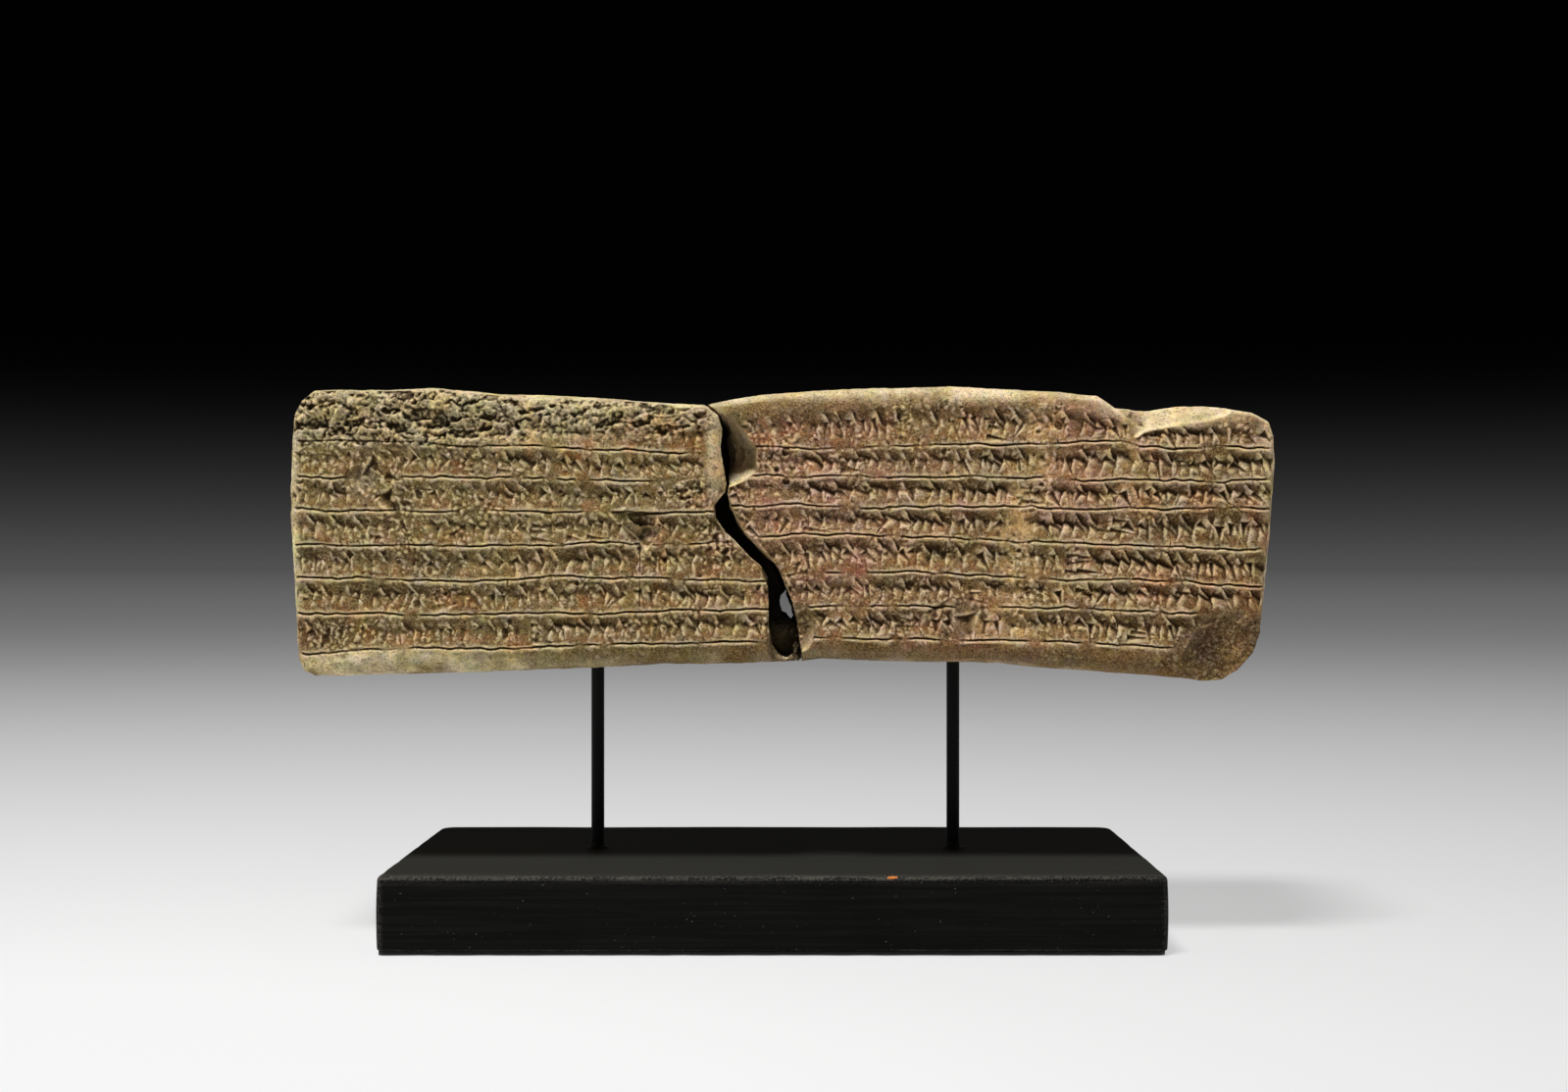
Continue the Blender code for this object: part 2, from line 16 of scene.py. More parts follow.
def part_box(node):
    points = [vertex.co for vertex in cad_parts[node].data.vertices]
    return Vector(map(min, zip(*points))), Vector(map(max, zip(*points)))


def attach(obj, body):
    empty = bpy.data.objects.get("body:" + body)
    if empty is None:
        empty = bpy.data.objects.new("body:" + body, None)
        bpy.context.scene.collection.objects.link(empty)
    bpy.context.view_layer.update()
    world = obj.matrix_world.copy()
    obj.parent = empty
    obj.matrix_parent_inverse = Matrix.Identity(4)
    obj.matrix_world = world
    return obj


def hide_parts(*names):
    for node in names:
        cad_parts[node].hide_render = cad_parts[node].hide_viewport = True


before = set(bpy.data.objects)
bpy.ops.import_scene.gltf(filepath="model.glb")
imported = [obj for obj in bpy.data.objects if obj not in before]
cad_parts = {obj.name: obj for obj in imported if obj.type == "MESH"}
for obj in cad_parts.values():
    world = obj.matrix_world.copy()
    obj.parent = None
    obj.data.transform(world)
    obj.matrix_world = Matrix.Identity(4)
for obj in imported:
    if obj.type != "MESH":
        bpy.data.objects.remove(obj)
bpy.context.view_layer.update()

MM = 0.001

# Camera: where the photograph was taken from, in metres, and its frame in pixels
PHOTO_WIDTH, PHOTO_HEIGHT = 1599, 1114
FOCAL_LENGTH = 2400
STRAIGHT_AHEAD = (811, 575)
CAMERA_PLACE = (0.0045, -0.9059, 0.138)

FLOOR_REACH = 60
FLOOR_DROP = 0.2 * MM       # of the floor below the felt
ROOM_LIGHT = 0.08           # from all sides
HORIZON_GLOW = 0.08         # of the room as the camera sees it, at the horizon
DARK_GLOW = 0.0004          # and high above it
GLOW_MIDDLE = (-0.25, -0.40, 0)
# The lights: place, width, height and power, and what they point at
OVERHEAD_LIGHT = ((-0.60, -1.10, 3.00), 0.8, 0.65, 118)
LEFT_LIGHT = ((-1.5, -0.5, 0.5), 0.8, 0.8, 1.2)
LIT_MIDDLE = (0, 0, 0.14)

# The ruled face: its plane, and the corners that its shares are counted from
LEFT_LOW, LEFT_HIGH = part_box("brick_left")
RIGHT_LOW, RIGHT_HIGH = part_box("brick_right")
FACE_LEFT, FACE_RIGHT = LEFT_LOW.x, RIGHT_HIGH.x
FACE_BOTTOM, FACE_TOP = min(LEFT_LOW.z, RIGHT_LOW.z), max(LEFT_HIGH.z, RIGHT_HIGH.z)
FACE_WIDTH = FACE_RIGHT - FACE_LEFT
FACE_HEIGHT = FACE_TOP - FACE_BOTTOM
FACE_Y = LEFT_LOW.y

# The ruled lines from top to bottom, in shares of the face, each from left to right
LEFT_LINES = (
    ((0.011, 0.815), (0.234, 0.796), (0.363, 0.776), (0.438, 0.776)),
    ((0.011, 0.693), (0.201, 0.690), (0.340, 0.677), (0.443, 0.690)),
    ((0.009, 0.584), (0.134, 0.576), (0.363, 0.574), (0.438, 0.577)),
    ((0.009, 0.467), (0.179, 0.455), (0.321, 0.470), (0.463, 0.468)),
    ((0.009, 0.353), (0.179, 0.341), (0.293, 0.356), (0.486, 0.338)),
    ((0.010, 0.234), (0.124, 0.227), (0.343, 0.237), (0.490, 0.247)),
    ((0.015, 0.098), (0.144, 0.115), (0.323, 0.128), (0.492, 0.138)),
)
RIGHT_LINES = (
    ((0.463, 0.796), (0.524, 0.789), (0.701, 0.802), (0.844, 0.811), (0.862, 0.789), (0.987, 0.789)),
    ((0.467, 0.693), (0.655, 0.694), (0.781, 0.687), (0.902, 0.677), (0.987, 0.683)),
    ((0.443, 0.599), (0.561, 0.594), (0.781, 0.587), (0.987, 0.584)),
    ((0.455, 0.492), (0.576, 0.502), (0.701, 0.482), (0.815, 0.462), (0.900, 0.457), (0.987, 0.442)),
    ((0.492, 0.359), (0.602, 0.374), (0.751, 0.355), (0.881, 0.341), (0.985, 0.326)),
    ((0.508, 0.260), (0.640, 0.257), (0.791, 0.250), (0.913, 0.234)),
    ((0.512, 0.148), (0.634, 0.145), (0.761, 0.137), (0.888, 0.121)),
)
TOP_OF_FIRST_ROW = ((0.000, 0.920), (0.350, 0.900), (0.420, 0.890), (0.460, 0.900), (0.520, 0.930),
                    (0.660, 0.950), (0.800, 0.935), (0.840, 0.900), (0.850, 0.870), (1.000, 0.870))
ROWS = len(LEFT_LINES)
# The break from bottom to top: its height and how far across it lies
BREAK = ((0.067, 0.517), (0.195, 0.511), (0.317, 0.498), (0.432, 0.477), (0.541, 0.449),
         (0.634, 0.443), (0.854, 0.440), (0.938, 0.421))

# The open stretch of the break as its front shows it, down its left side and up its right
OPEN_BREAK = ((0.4415, 0.636), (0.4321, 0.597), (0.4330, 0.553), (0.4418, 0.506), (0.4509, 0.479),
              (0.4584, 0.454), (0.4667, 0.424), (0.4774, 0.396), (0.4866, 0.349), (0.4862, 0.247),
              (0.4865, 0.190), (0.4900, 0.130), (0.4960, 0.095), (0.5040, 0.085), (0.5110, 0.100),
              (0.5135, 0.150), (0.5111, 0.203), (0.5090, 0.256), (0.5048, 0.306),
              (0.4982, 0.355), (0.4915, 0.399), (0.4799, 0.424), (0.4667, 0.476), (0.4567, 0.504),
              (0.4475, 0.564), (0.4435, 0.630))
OPEN_DEPTH = 26 * MM
# The sliver of it that opens right through
THROUGH_BREAK = ((0.4970, 0.303), (0.5008, 0.297), (0.5070, 0.260), (0.5100, 0.208), (0.5055, 0.224),
                 (0.5010, 0.265))
# Hollows broken out beside it: middle across and up, and radii across, inwards and up
LOWER_HOLLOW = (0.4995, 0.120, 5.2 * MM, 11 * MM, 9.5 * MM)
BREAK_HOLLOWS = (LOWER_HOLLOW, (0.4345, 0.830, 5.0 * MM, 18 * MM, 8 * MM),
                 (0.4370, 0.770, 10.0 * MM, 20 * MM, 9.5 * MM),
                 (0.5180, 0.180, 5.0 * MM, 4.5 * MM, 9.0 * MM))

# How a row sinks in from its upper line and comes out again to its lower one
ROW_PROFILE = ((0.0, -0.22), (0.05, -0.20), (0.13, 0.00), (0.34, 0.50), (0.42, 0.80), (0.48, 0.80),
               (0.58, 0.40), (0.80, 0.00), (0.92, -0.16), (1.0, -0.22))

# Patches of the face, each by its middle, its radii and its strength, in shares
ERODED_PATCHES = ((0.12, 0.905, 0.16, 0.10, 1.0), (0.30, 0.900, 0.10, 0.055, 0.8),
                  (0.385, 0.880, 0.045, 0.045, 0.7), (0.405, 0.63, 0.022, 0.045, 0.5))
WORN_PATCHES = ((0.17, 0.42, 0.15, 0.22, 0.22), (0.765, 0.79, 0.018, 0.17, 0.8),
                (0.738, 0.42, 0.019, 0.26, 0.8))
SHARP_PATCHES = ((0.88, 0.45, 0.10, 0.32, 0.25),)
ROUGH_PATCHES = ((0.430, 0.475, 0.020, 0.045, 0.8), (0.075, 0.68, 0.028, 0.055, 0.6),
                 (0.110, 0.57, 0.018, 0.06, 0.6), (0.356, 0.49, 0.014, 0.050, 0.7),
                 (0.51, 0.21, 0.04, 0.08, 0.4))
PINK_PATCHES = ((0.53, 0.58, 0.085, 0.30, 0.9), (0.79, 0.745, 0.035, 0.20, 1.0),
                (0.68, 0.21, 0.05, 0.10, 0.6), (0.427, 0.45, 0.008, 0.03, 1.0),
                (0.372, 0.505, 0.007, 0.06, 1.0), (0.80, 0.57, 0.05, 0.05, 1.0))
# Larger dents broken out of the face: place, angle in degrees, length, width and depth in mm
SCARS = ((0.3555, 0.570, -90, 15, 19, 3.2), (0.081, 0.735, -30, 13, 9, 1.7),
         (0.098, 0.640, -62, 17, 8, 1.8), (0.170, 0.510, -55, 8, 6, 1.3),
         (0.659, 0.262, -60, 10, 12, 1.6), (0.686, 0.225, -80, 10, 9, 1.8),
         (0.852, 0.905, -40, 9, 5, 1.2), (0.430, 0.500, -75, 7, 6, 1.5))
SCAR_WALL, SCAR_LEAN = 1.2 * MM, 0.15
# The worn lower right corner, and how far its edge is blended into the face
CORNER_PATCHES = ((0.955, 0.110, 0.050, 0.125, 1.0), (0.925, 0.060, 0.065, 0.065, 0.9))
BLENDED_PATCHES = ((0.93, 0.09, 0.075, 0.16, 1.0),)
# Smooth clay without strokes: the rounded edge of the left fragment along the break
SMOOTH_PATCHES = ((0.432, 0.79, 0.013, 0.17, 1.0), (0.515, 0.20, 0.016, 0.08, 1.0))
# Pale patches of worn clay and dust; along the top strip and the lower left strip they are also painted
# highlight.
CREAM_PATCHES = ((0.90, 0.95, 0.08, 0.09, 1.0), (0.66, 0.99, 0.24, 0.045, 1.0),
                 (0.20, 0.97, 0.26, 0.045, 0.9), (0.4325, 0.79, 0.010, 0.19, 0.9),
                 (0.10, 0.03, 0.17, 0.08, 1.0), (0.35, 0.06, 0.12, 0.03, 0.3),
                 (0.17, 0.91, 0.19, 0.11, 0.9), (0.90, 0.92, 0.055, 0.06, 1.0))
SAND_PATCHES = ((0.765, 0.79, 0.020, 0.16, 1.0), (0.739, 0.45, 0.017, 0.26, 1.0),
                (0.730, 0.20, 0.030, 0.08, 0.9), (0.850, 0.75, 0.012, 0.12, 0.6))
RUST_PATCHES = ((0.02, 0.17, 0.02, 0.06, 1.0), (0.675, 0.20, 0.022, 0.10, 1.0),
                (0.14, 0.22, 0.12, 0.10, 0.7), (0.40, 0.42, 0.06, 0.08, 0.5),
                (0.93, 0.36, 0.07, 0.10, 0.7), (0.38, 0.26, 0.10, 0.08, 0.7),
                (0.178, 0.492, 0.020, 0.03, 1.0), (0.223, 0.14, 0.02, 0.04, 0.9),
                (0.975, 0.42, 0.016, 0.20, 0.9), (0.90, 0.62, 0.06, 0.12, 0.5),
                (0.33, 0.80, 0.14, 0.09, 0.7), (0.43, 0.435, 0.008, 0.03, 1.0))
# Brown patches of the clay; the one at 0.5165, 0.19 is painted shade on the right fragment's bevel beside
# the break.
BROWN_PATCHES = ((0.086, 0.71, 0.024, 0.045, 0.9), (0.109, 0.57, 0.018, 0.07, 0.9),
                 (0.5165, 0.19, 0.012, 0.08, 0.8), (0.356, 0.50, 0.020, 0.060, 1.0),
                 (0.16, 0.89, 0.10, 0.06, 0.5), (0.44, 0.71, 0.012, 0.20, 0.4),
                 (0.70, 0.055, 0.24, 0.055, 0.7), (0.93, 0.50, 0.08, 0.38, 0.75),
                 (0.03, 0.17, 0.035, 0.07, 1.0), (0.427, 0.50, 0.016, 0.05, 0.9),
                 (0.672, 0.205, 0.028, 0.09, 0.9), (0.36, 0.42, 0.07, 0.12, 0.3))

CLAY_GRAIN = 0.40 * MM      # spacing of the points that the fragments are first made with
CLAY_TRIANGLES = 195000     # what each fragment is thinned to
REST_TRIANGLES = 34000      # what its sides and back are thinned to
FRONT_DEPTH = 7 * MM        # of the part that keeps its fine points
SKIN_DEPTH = 2.6 * MM       # of the solid's dents, which the relief takes the place of
ROUGH_BACK = (92 * MM, 97 * MM)     # behind the face, where the back's roughness sets in
IN_FRONT, OUT_OF_SIGHT = 10 * MM, 60 * MM   # of the face and behind it, where looks start and end
CLAY_CREASE = math.radians(28)
RIM_WIDTH = 0.35 * MM       # of the clay that a wedge pushes up beside it
SAME_PLACE = 0.001 * MM     # apart, below which two points are one
BLOCK_PITCH, FELT_PITCH = 4 * MM, 3 * MM    # of the cells that their surfaces are cut into
BLOCK_CORNERS = (3.5 * MM, 7 * MM)          # radii of the upright edges, in front and behind
FELT_CORNERS = (2.3 * MM, 5.8 * MM)
BARE_WOOD = (0.0385, -0.0778, 0.0279)       # where the paint is chipped off the block's front edge


# A sheet of cells over the ruled face, which holds depths and patches

CELL = 0.25 * MM
CELLS_ACROSS, CELLS_UP = 1500, 480
XS = (FACE_LEFT + FACE_RIGHT) / 2 + CELL * (np.arange(CELLS_ACROSS) + 0.5 - CELLS_ACROSS / 2)
ZS = (FACE_BOTTOM + FACE_TOP) / 2 + CELL * (np.arange(CELLS_UP) + 0.5 - CELLS_UP / 2)
US = (XS - FACE_LEFT) / FACE_WIDTH
VS = (ZS - FACE_BOTTOM) / FACE_HEIGHT
U, V = np.meshgrid(US, VS)
WAVES_UP = np.fft.fftfreq(CELLS_UP, CELL)[:, None]
WAVES_ACROSS = np.fft.rfftfreq(CELLS_ACROSS, CELL)[None, :]


def soften(sheet, width, across=None):
    """Blur a sheet over this width, or over another one sideways."""
    across = across or width
    kept = np.exp(-2 * math.pi ** 2 * ((WAVES_ACROSS * across) ** 2 + (WAVES_UP * width) ** 2))
    return np.fft.irfft2(np.fft.rfft2(sheet) * kept, s=sheet.shape)


def lumps(width, seed, across=None):
    """A sheet of random lumps of about this width, with a mean of 0 and a spread of 1."""
    sheet = np.random.default_rng(seed).standard_normal((CELLS_UP, CELLS_ACROSS))
    sheet = soften(sheet, width / 2.5, (across or width) / 2.5)
    return sheet / sheet.std()


def wander(width, seed):
    """Random ups and downs along the face, of about this width, with a spread of 1."""
    line = np.random.default_rng(seed).standard_normal(CELLS_ACROSS)
    kept = np.exp(-2 * (math.pi * WAVES_ACROSS[0] * width / 2.5) ** 2)
    line = np.fft.irfft(np.fft.rfft(line) * kept, CELLS_ACROSS)
    return line / line.std()


def ease(low, high, value):
    """0 below the low value, 1 above the high one, and a smooth rise between them."""
    share = np.clip((value - low) / (high - low), 0, 1)
    return share * share * (3 - 2 * share)


def along(points, at):
    """The second number of a line of points where its first one has these values."""
    return np.interp(at, [point[0] for point in points], [point[1] for point in points])


def patches(places, soft=0.5):
    """A sheet that is high in the given patches, with soft edges, and 0 elsewhere."""
    sheet = np.zeros(U.shape)
    for u, v, radius_u, radius_v, strength in places:
        away = np.sqrt(((U - u) / radius_u) ** 2 + ((V - v) / radius_v) ** 2)
        sheet = np.maximum(sheet, strength * (1 - ease(1 - soft, 1 + soft, away)))
    return sheet


def read_sheet(sheet, x, z):
    """Values of a sheet at points of the face, blended between its cells."""
    column = np.clip((x - XS[0]) / CELL, 0, CELLS_ACROSS - 1.001)
    row = np.clip((z - ZS[0]) / CELL, 0, CELLS_UP - 1.001)
    i, j = row.astype(int), column.astype(int)
    up, right = row - i, column - j
    low = sheet[i, j] * (1 - right) + sheet[i, j + 1] * right
    high = sheet[i + 1, j] * (1 - right) + sheet[i + 1, j + 1] * right
    return low * (1 - up) + high * up


# The clay face as written on, and as time has left it

ON_LEFT = U < along(BREAK, VS)[:, None]
ON_RIGHT = 1.0 - ON_LEFT


def row_edges(lines):
    """The heights along the face of the edges between the rows, in shares, from the top."""
    return [along(TOP_OF_FIRST_ROW, US)] + [along(line, US) for line in lines]


def find_rows():
    """Whether each cell lies in a row, and how far down its row it is."""
    left, right = row_edges(LEFT_LINES), row_edges(RIGHT_LINES)
    in_row = np.zeros(U.shape)
    down = np.zeros(U.shape)
    for i in range(ROWS):
        upper = np.where(ON_LEFT, left[i], right[i])
        lower = np.where(ON_LEFT, left[i + 1], right[i + 1])
        here = (V <= upper) & (V > lower)
        in_row[here] = 1
        down = np.where(here, (upper - V) / (upper - lower), down)
    return in_row, down


def soil_and_shade_in_rows():
    """How dark soil and painted shade lie under the upper edge of each row, where the clay faces down, as a
    sheet.
    """
    in_row, down = find_rows()
    band = ease(0.05, 0.17, down) * (1 - ease(0.36, 0.56, down + 0.06 * lumps(5 * MM, 90)))
    uneven = 0.40 + 0.35 * lumps(16 * MM, 91) + 0.30 * lumps(5 * MM, 92)
    below = 1 - ease(0.35, 0.60, V)
    most = 0.55 + 0.45 * np.maximum(ease(0.40, 0.55, U), below) - 0.35 * ease(0.72, 0.80, V)
    return in_row * band * np.clip(uneven, 0, 1) * most


def press_wedge(dents, rims, x, z, angle, length, width, depth, wall, lean):
    """Press one wedge: steep at its head, sloping out along its tail, deeper to one side."""
    reach = length + width
    first_column = max(int((x - reach - XS[0]) / CELL), 0)
    first_row = max(int((z - reach - ZS[0]) / CELL), 0)
    window = np.s_[first_row:int((z + reach - ZS[0]) / CELL) + 2,
                   first_column:int((x + reach - XS[0]) / CELL) + 2]
    dx, dz = XS[None, window[1]] - x, ZS[window[0], None] - z
    forward = dx * math.cos(angle) + dz * math.sin(angle)
    sideways = -dx * math.sin(angle) + dz * math.cos(angle)
    left = np.clip(1 - forward / length, 0, 1)
    half = width / 2 * left + 0.12 * MM
    away = np.where(sideways > 0, sideways / (half * (1 - lean)), -sideways / (half * (1 + lean)))
    head = np.clip(forward / wall + 0.35, 0, 1)
    across = np.clip(1 - away, 0, 1)
    dent = depth * np.minimum(head, across ** 0.85 * (0.2 + 0.8 * left))
    np.maximum(dents[window], dent, out=dents[window])
    outside = np.clip((away - 1) * half, 0, None)
    rim = 0.15 * depth * np.exp(-((outside - RIM_WIDTH) / RIM_WIDTH) ** 2) * (left > 0.05) * (head > 0.35)
    np.maximum(rims[window], rim, out=rims[window])


def press_group(pick, dents, rims, x, top, room):
    """Press one to three upright, level or slanting wedges, and return where they end."""
    kind = pick.random()
    count = pick.integers(1, 4)
    for k in range(count):
        if kind < 0.35:
            z = top - room * pick.uniform(0.34, 0.46)
            press_wedge(dents, rims, x, z, -math.pi / 2 + pick.normal(0.15, 0.20),
                        room * pick.uniform(0.35, 0.50), pick.uniform(3.0, 4.6) * MM,
                        pick.uniform(1.0, 1.7) * MM, 0.5 * MM, pick.uniform(-0.2, 0.6))
            x += pick.uniform(3.2, 4.6) * MM
        elif kind < 0.55:
            z = top - room * (0.36 + k * 0.20 + pick.uniform(-0.04, 0.04))
            press_wedge(dents, rims, x + pick.uniform(-1, 1) * MM, z, pick.normal(-0.10, 0.12),
                        pick.uniform(6, 11) * MM, pick.uniform(2.4, 3.4) * MM,
                        pick.uniform(0.8, 1.3) * MM, 0.6 * MM, pick.uniform(0.3, 0.7))
            x += pick.uniform(4.0, 6.5) * MM * (k == count - 1)
        else:
            z = top - room * pick.uniform(0.34, 0.48)
            slant = pick.choice((-0.33, -0.26, -0.20, -0.70)) * math.pi + pick.normal(0, 0.08)
            press_wedge(dents, rims, x, z, slant, pick.uniform(4, 7) * MM,
                        pick.uniform(3.2, 5.0) * MM, pick.uniform(1.1, 1.8) * MM, 0.5 * MM,
                        pick.uniform(0.2, 0.7))
            x += pick.uniform(3.6, 5.6) * MM
    return x


def press_strokes(seed):
    """Rows of wedges pressed at random, in small groups."""
    pick = np.random.default_rng(seed)
    dents, rims = np.zeros(U.shape), np.zeros(U.shape)
    for row in range(ROWS):
        break_here = along(BREAK, 0.85 - 0.115 * row)
        u = 0.012
        while u < 0.985:
            lines = LEFT_LINES if u < break_here else RIGHT_LINES
            upper = along(lines[row - 1] if row else TOP_OF_FIRST_ROW, u)
            room = (upper - along(lines[row], u)) * FACE_HEIGHT
            x = FACE_LEFT + u * FACE_WIDTH
            if lines is LEFT_LINES or u < lines[row][-1][0]:
                x = press_group(pick, dents, rims, x, FACE_BOTTOM + upper * FACE_HEIGHT, room)
            u = (x - FACE_LEFT) / FACE_WIDTH + pick.uniform(0.3, 3.0) * MM / FACE_WIDTH
    return dents - rims * (1 - ease(0.1 * MM, 0.5 * MM, dents))


def break_scars():
    """The larger dents, each a wedge with a steep wall on all sides."""
    dents, rims = np.zeros(U.shape), np.zeros(U.shape)
    for u, v, degrees, length, width, depth in SCARS:
        x, z = FACE_LEFT + u * FACE_WIDTH, FACE_BOTTOM + v * FACE_HEIGHT
        press_wedge(dents, rims, x, z, math.radians(degrees), length * MM, width * MM, depth * MM,
                    SCAR_WALL, SCAR_LEAN)
    return dents


def rule_lines(seed):
    """The ruled lines: cut with a steep upper side, wavering, with a raised lip below them."""
    sheet, lips = np.zeros(U.shape), np.zeros(U.shape)
    rise = 0.20 + 0.14 * ON_RIGHT
    for lines, half in ((LEFT_LINES, ON_LEFT), (RIGHT_LINES, ~ON_LEFT)):
        for i, line in enumerate(lines):
            wobble = 0.30 * MM * wander(12 * MM, seed + i) + 0.15 * MM * wander(3 * MM, seed + 10 + i)
            opened = np.clip(0.85 + 0.5 * wander(6 * MM, seed + 20 + i), 0.1, 1.15)
            start, end = line[0][0], line[-1][0]
            opened *= ease(start - 0.004, start, US) * (1 - ease(end, end + 0.01, US))
            away = ZS[:, None] - (FACE_BOTTOM + along(line, US) * FACE_HEIGHT + wobble)
            groove = np.where(away > 0, 1 - away / (0.30 * MM), 1 + away / (0.70 * MM))
            sheet = np.maximum(sheet, np.clip(groove, 0, 1) * opened * 1.6 * MM * half)
            lip = np.exp(-((away + 1.00 * MM) / (0.40 * MM)) ** 2) * opened * rise * MM * half
            lips = np.maximum(lips, lip * (0.6 + 0.5 * wander(4 * MM, seed + 30 + i)))
    return sheet - lips


def teeth(seed, least, most, slant):
    """A sheet that climbs from 0 to 1 along each of many short stretches of every row.

    The stretches are between the least and the most long, and meet along slanting lines.
    """
    pick = np.random.default_rng(seed)
    sheet = np.zeros(U.shape)
    stray = 0.5 * MM * lumps(5 * MM, seed + 1)
    for lines, half in ((LEFT_LINES, ON_LEFT), (RIGHT_LINES, ~ON_LEFT)):
        edges = row_edges(lines)
        for upper, lower in zip(edges, edges[1:]):
            ends = XS[0] + np.cumsum(pick.uniform(least, most, 200))
            starts = np.concatenate(([XS[0] - most], ends))
            here = (V <= upper) & (V > lower) & half
            place = (XS - slant * (upper - V) * FACE_HEIGHT + stray)[here]
            tooth = np.searchsorted(ends, place)
            sheet[here] = (place - starts[tooth]) / (ends[tooth] - starts[tooth])
    return sheet


def weather():
    """How worn the face is, and how far it is eaten away, as sheets from 0 to 1."""
    eroded = patches(ERODED_PATCHES, 0.35)
    worn = np.clip(0.15 + 0.24 * lumps(16 * MM, 1) + 0.12 * lumps(6 * MM, 2), 0, 1)
    worn = worn + 0.9 * eroded + patches(WORN_PATCHES) - patches(SHARP_PATCHES)
    return np.clip(worn, 0, 1), eroded


def face_relief(written):
    """Depths behind the bare surface, where a sheet says how far the face is written on."""
    in_row, down = find_rows()
    worn, eroded = weather()
    middle = ease(0.08, 0.34, down) * (1 - ease(0.74, 1.0, down)) * in_row
    large = teeth(20, 4.5 * MM, 13 * MM, 0.6) - 0.5
    small = teeth(22, 3.0 * MM, 7 * MM, -0.2) - 0.5
    shifted = down - middle * (0.18 * large + 0.12 * small + 0.04 * lumps(6 * MM, 30))
    strength = np.clip(1.0 + 0.45 * lumps(10 * MM, 31), 0.1, 1.9)
    profile = MM * (along(ROW_PROFILE, shifted) * in_row * strength + middle * (0.3 * small - 0.4 * large))
    pressed = (1.25 * np.maximum(press_strokes(5), profile) + 0.30 * profile) * (1 - 0.45 * worn)
    pressed *= 0.74 + 0.44 * ease(0.38, 0.85, U)
    pressed += (soften(pressed, 0.5 * MM) - pressed) * np.clip(worn, 0, 1)
    depth = pressed + rule_lines(40) * (1 - 0.35 * worn) * (1 - 0.95 * eroded)
    smooth = patches(SMOOTH_PATCHES, 0.3)
    depth = (depth - 0.5 * soften(depth, 6 * MM)) * written * (1 - 0.9 * smooth)
    depth += MM * (0.25 * lumps(30 * MM, 3) + 0.12 * lumps(9 * MM, 4) + 0.03 * lumps(3.6 * MM, 5))
    depth += MM * (0.04 * lumps(1.7 * MM, 6) + 0.05 * lumps(0.9 * MM, 7)) * (0.2 + 1.3 * worn)
    pits = 0.5 * ease(1.3, 2.3, lumps(1.6 * MM, 8)) + 0.8 * ease(1.6, 2.4, lumps(3.0 * MM, 9))
    depth += MM * pits * (0.35 + 0.75 * worn) * (0.3 + 0.7 * in_row)
    depth += break_scars() * (1 + 0.15 * lumps(2.5 * MM, 35))
    crumbly = ease(0.45, 0.85, worn + 0.3 * lumps(12 * MM, 18)) * (0.25 + 0.75 * in_row)
    depth += 0.22 * MM * (0.6 - np.abs(lumps(1.7 * MM, 15))) * crumbly
    depth += 0.18 * MM * ease(0.15, 0.30, lumps(7 * MM, 10) + 0.25 * lumps(2 * MM, 11)) * in_row
    rough = np.maximum(patches(ROUGH_PATCHES, 0.3), 0.7 * patches(CORNER_PATCHES))
    depth += MM * rough * (0.40 * ease(-0.2, 1.2, lumps(2.4 * MM, 33)) + 0.14 * lumps(1.2 * MM, 34))
    holes = ease(0.2, 1.1, lumps(2.4 * MM, 12, across=5.5 * MM) + 0.5 * lumps(1.3 * MM, 13))
    crests = np.abs(lumps(3.2 * MM, 14, across=6 * MM)) + 0.6 * np.abs(lumps(1.5 * MM, 16))
    depth += MM * eroded * (1.6 * holes - 0.9 * crests + 0.15 * lumps(1.1 * MM, 17) + 0.4)
    return depth


def look_from_front(solids, spacing=2):
    """The solids' front seen from the camera's side: bare of strokes, and how steady it is.

    Returns sheets of the bare surface's Y, of how far the face is written on, and of how
    much of the relief applies.
    """
    trees = []
    for solid in solids:
        bm = bmesh.new()
        bm.from_mesh(solid)
        trees.append(BVHTree.FromBMesh(bm))
        bm.free()
    far = FACE_Y + OUT_OF_SIGHT
    start = FACE_Y - IN_FRONT
    ahead = Vector((0, 1, 0))
    seen = np.full((CELLS_UP // spacing, CELLS_ACROSS // spacing), far)
    for i, z in enumerate(ZS[::spacing] + CELL * (spacing - 1) / 2):
        for j, x in enumerate(XS[::spacing] + CELL * (spacing - 1) / 2):
            for tree in trees:
                hit = tree.ray_cast(Vector((x, start, z)), ahead)[0]
                if hit:
                    seen[i, j] = min(seen[i, j], hit.y)
    reach = round(SKIN_DEPTH / (CELL * spacing))
    spread = sweep(seen, np.minimum, reach)
    bare = sweep(spread, np.maximum, reach)
    bare = np.where(bare > far - MM, spread, bare)
    broken = sweep((seen - bare > 2.0 * MM).astype(float), np.maximum, 1)
    slope = np.hypot(*np.gradient(bare, CELL * spacing))
    steady = (1 - ease(0.8, 2.0, slope)) * (1 - broken)
    written = (1 - ease(0.5 * MM, 1.4 * MM, bare - FACE_Y)) * (1 - broken)
    fine = [np.kron(sheet, np.ones((spacing, spacing))) for sheet in (bare, written, steady)]
    bare, written, steady = [soften(sheet, CELL * spacing / 2) for sheet in fine]
    corner = patches(BLENDED_PATCHES, 0.3)
    blended = soften(np.minimum(bare, FACE_Y + 9 * MM), 3 * MM)
    bare += np.clip(blended - bare, -2 * MM, 0.8 * MM) * corner
    return bare, written * (1 - patches(CORNER_PATCHES, 0.3)), steady


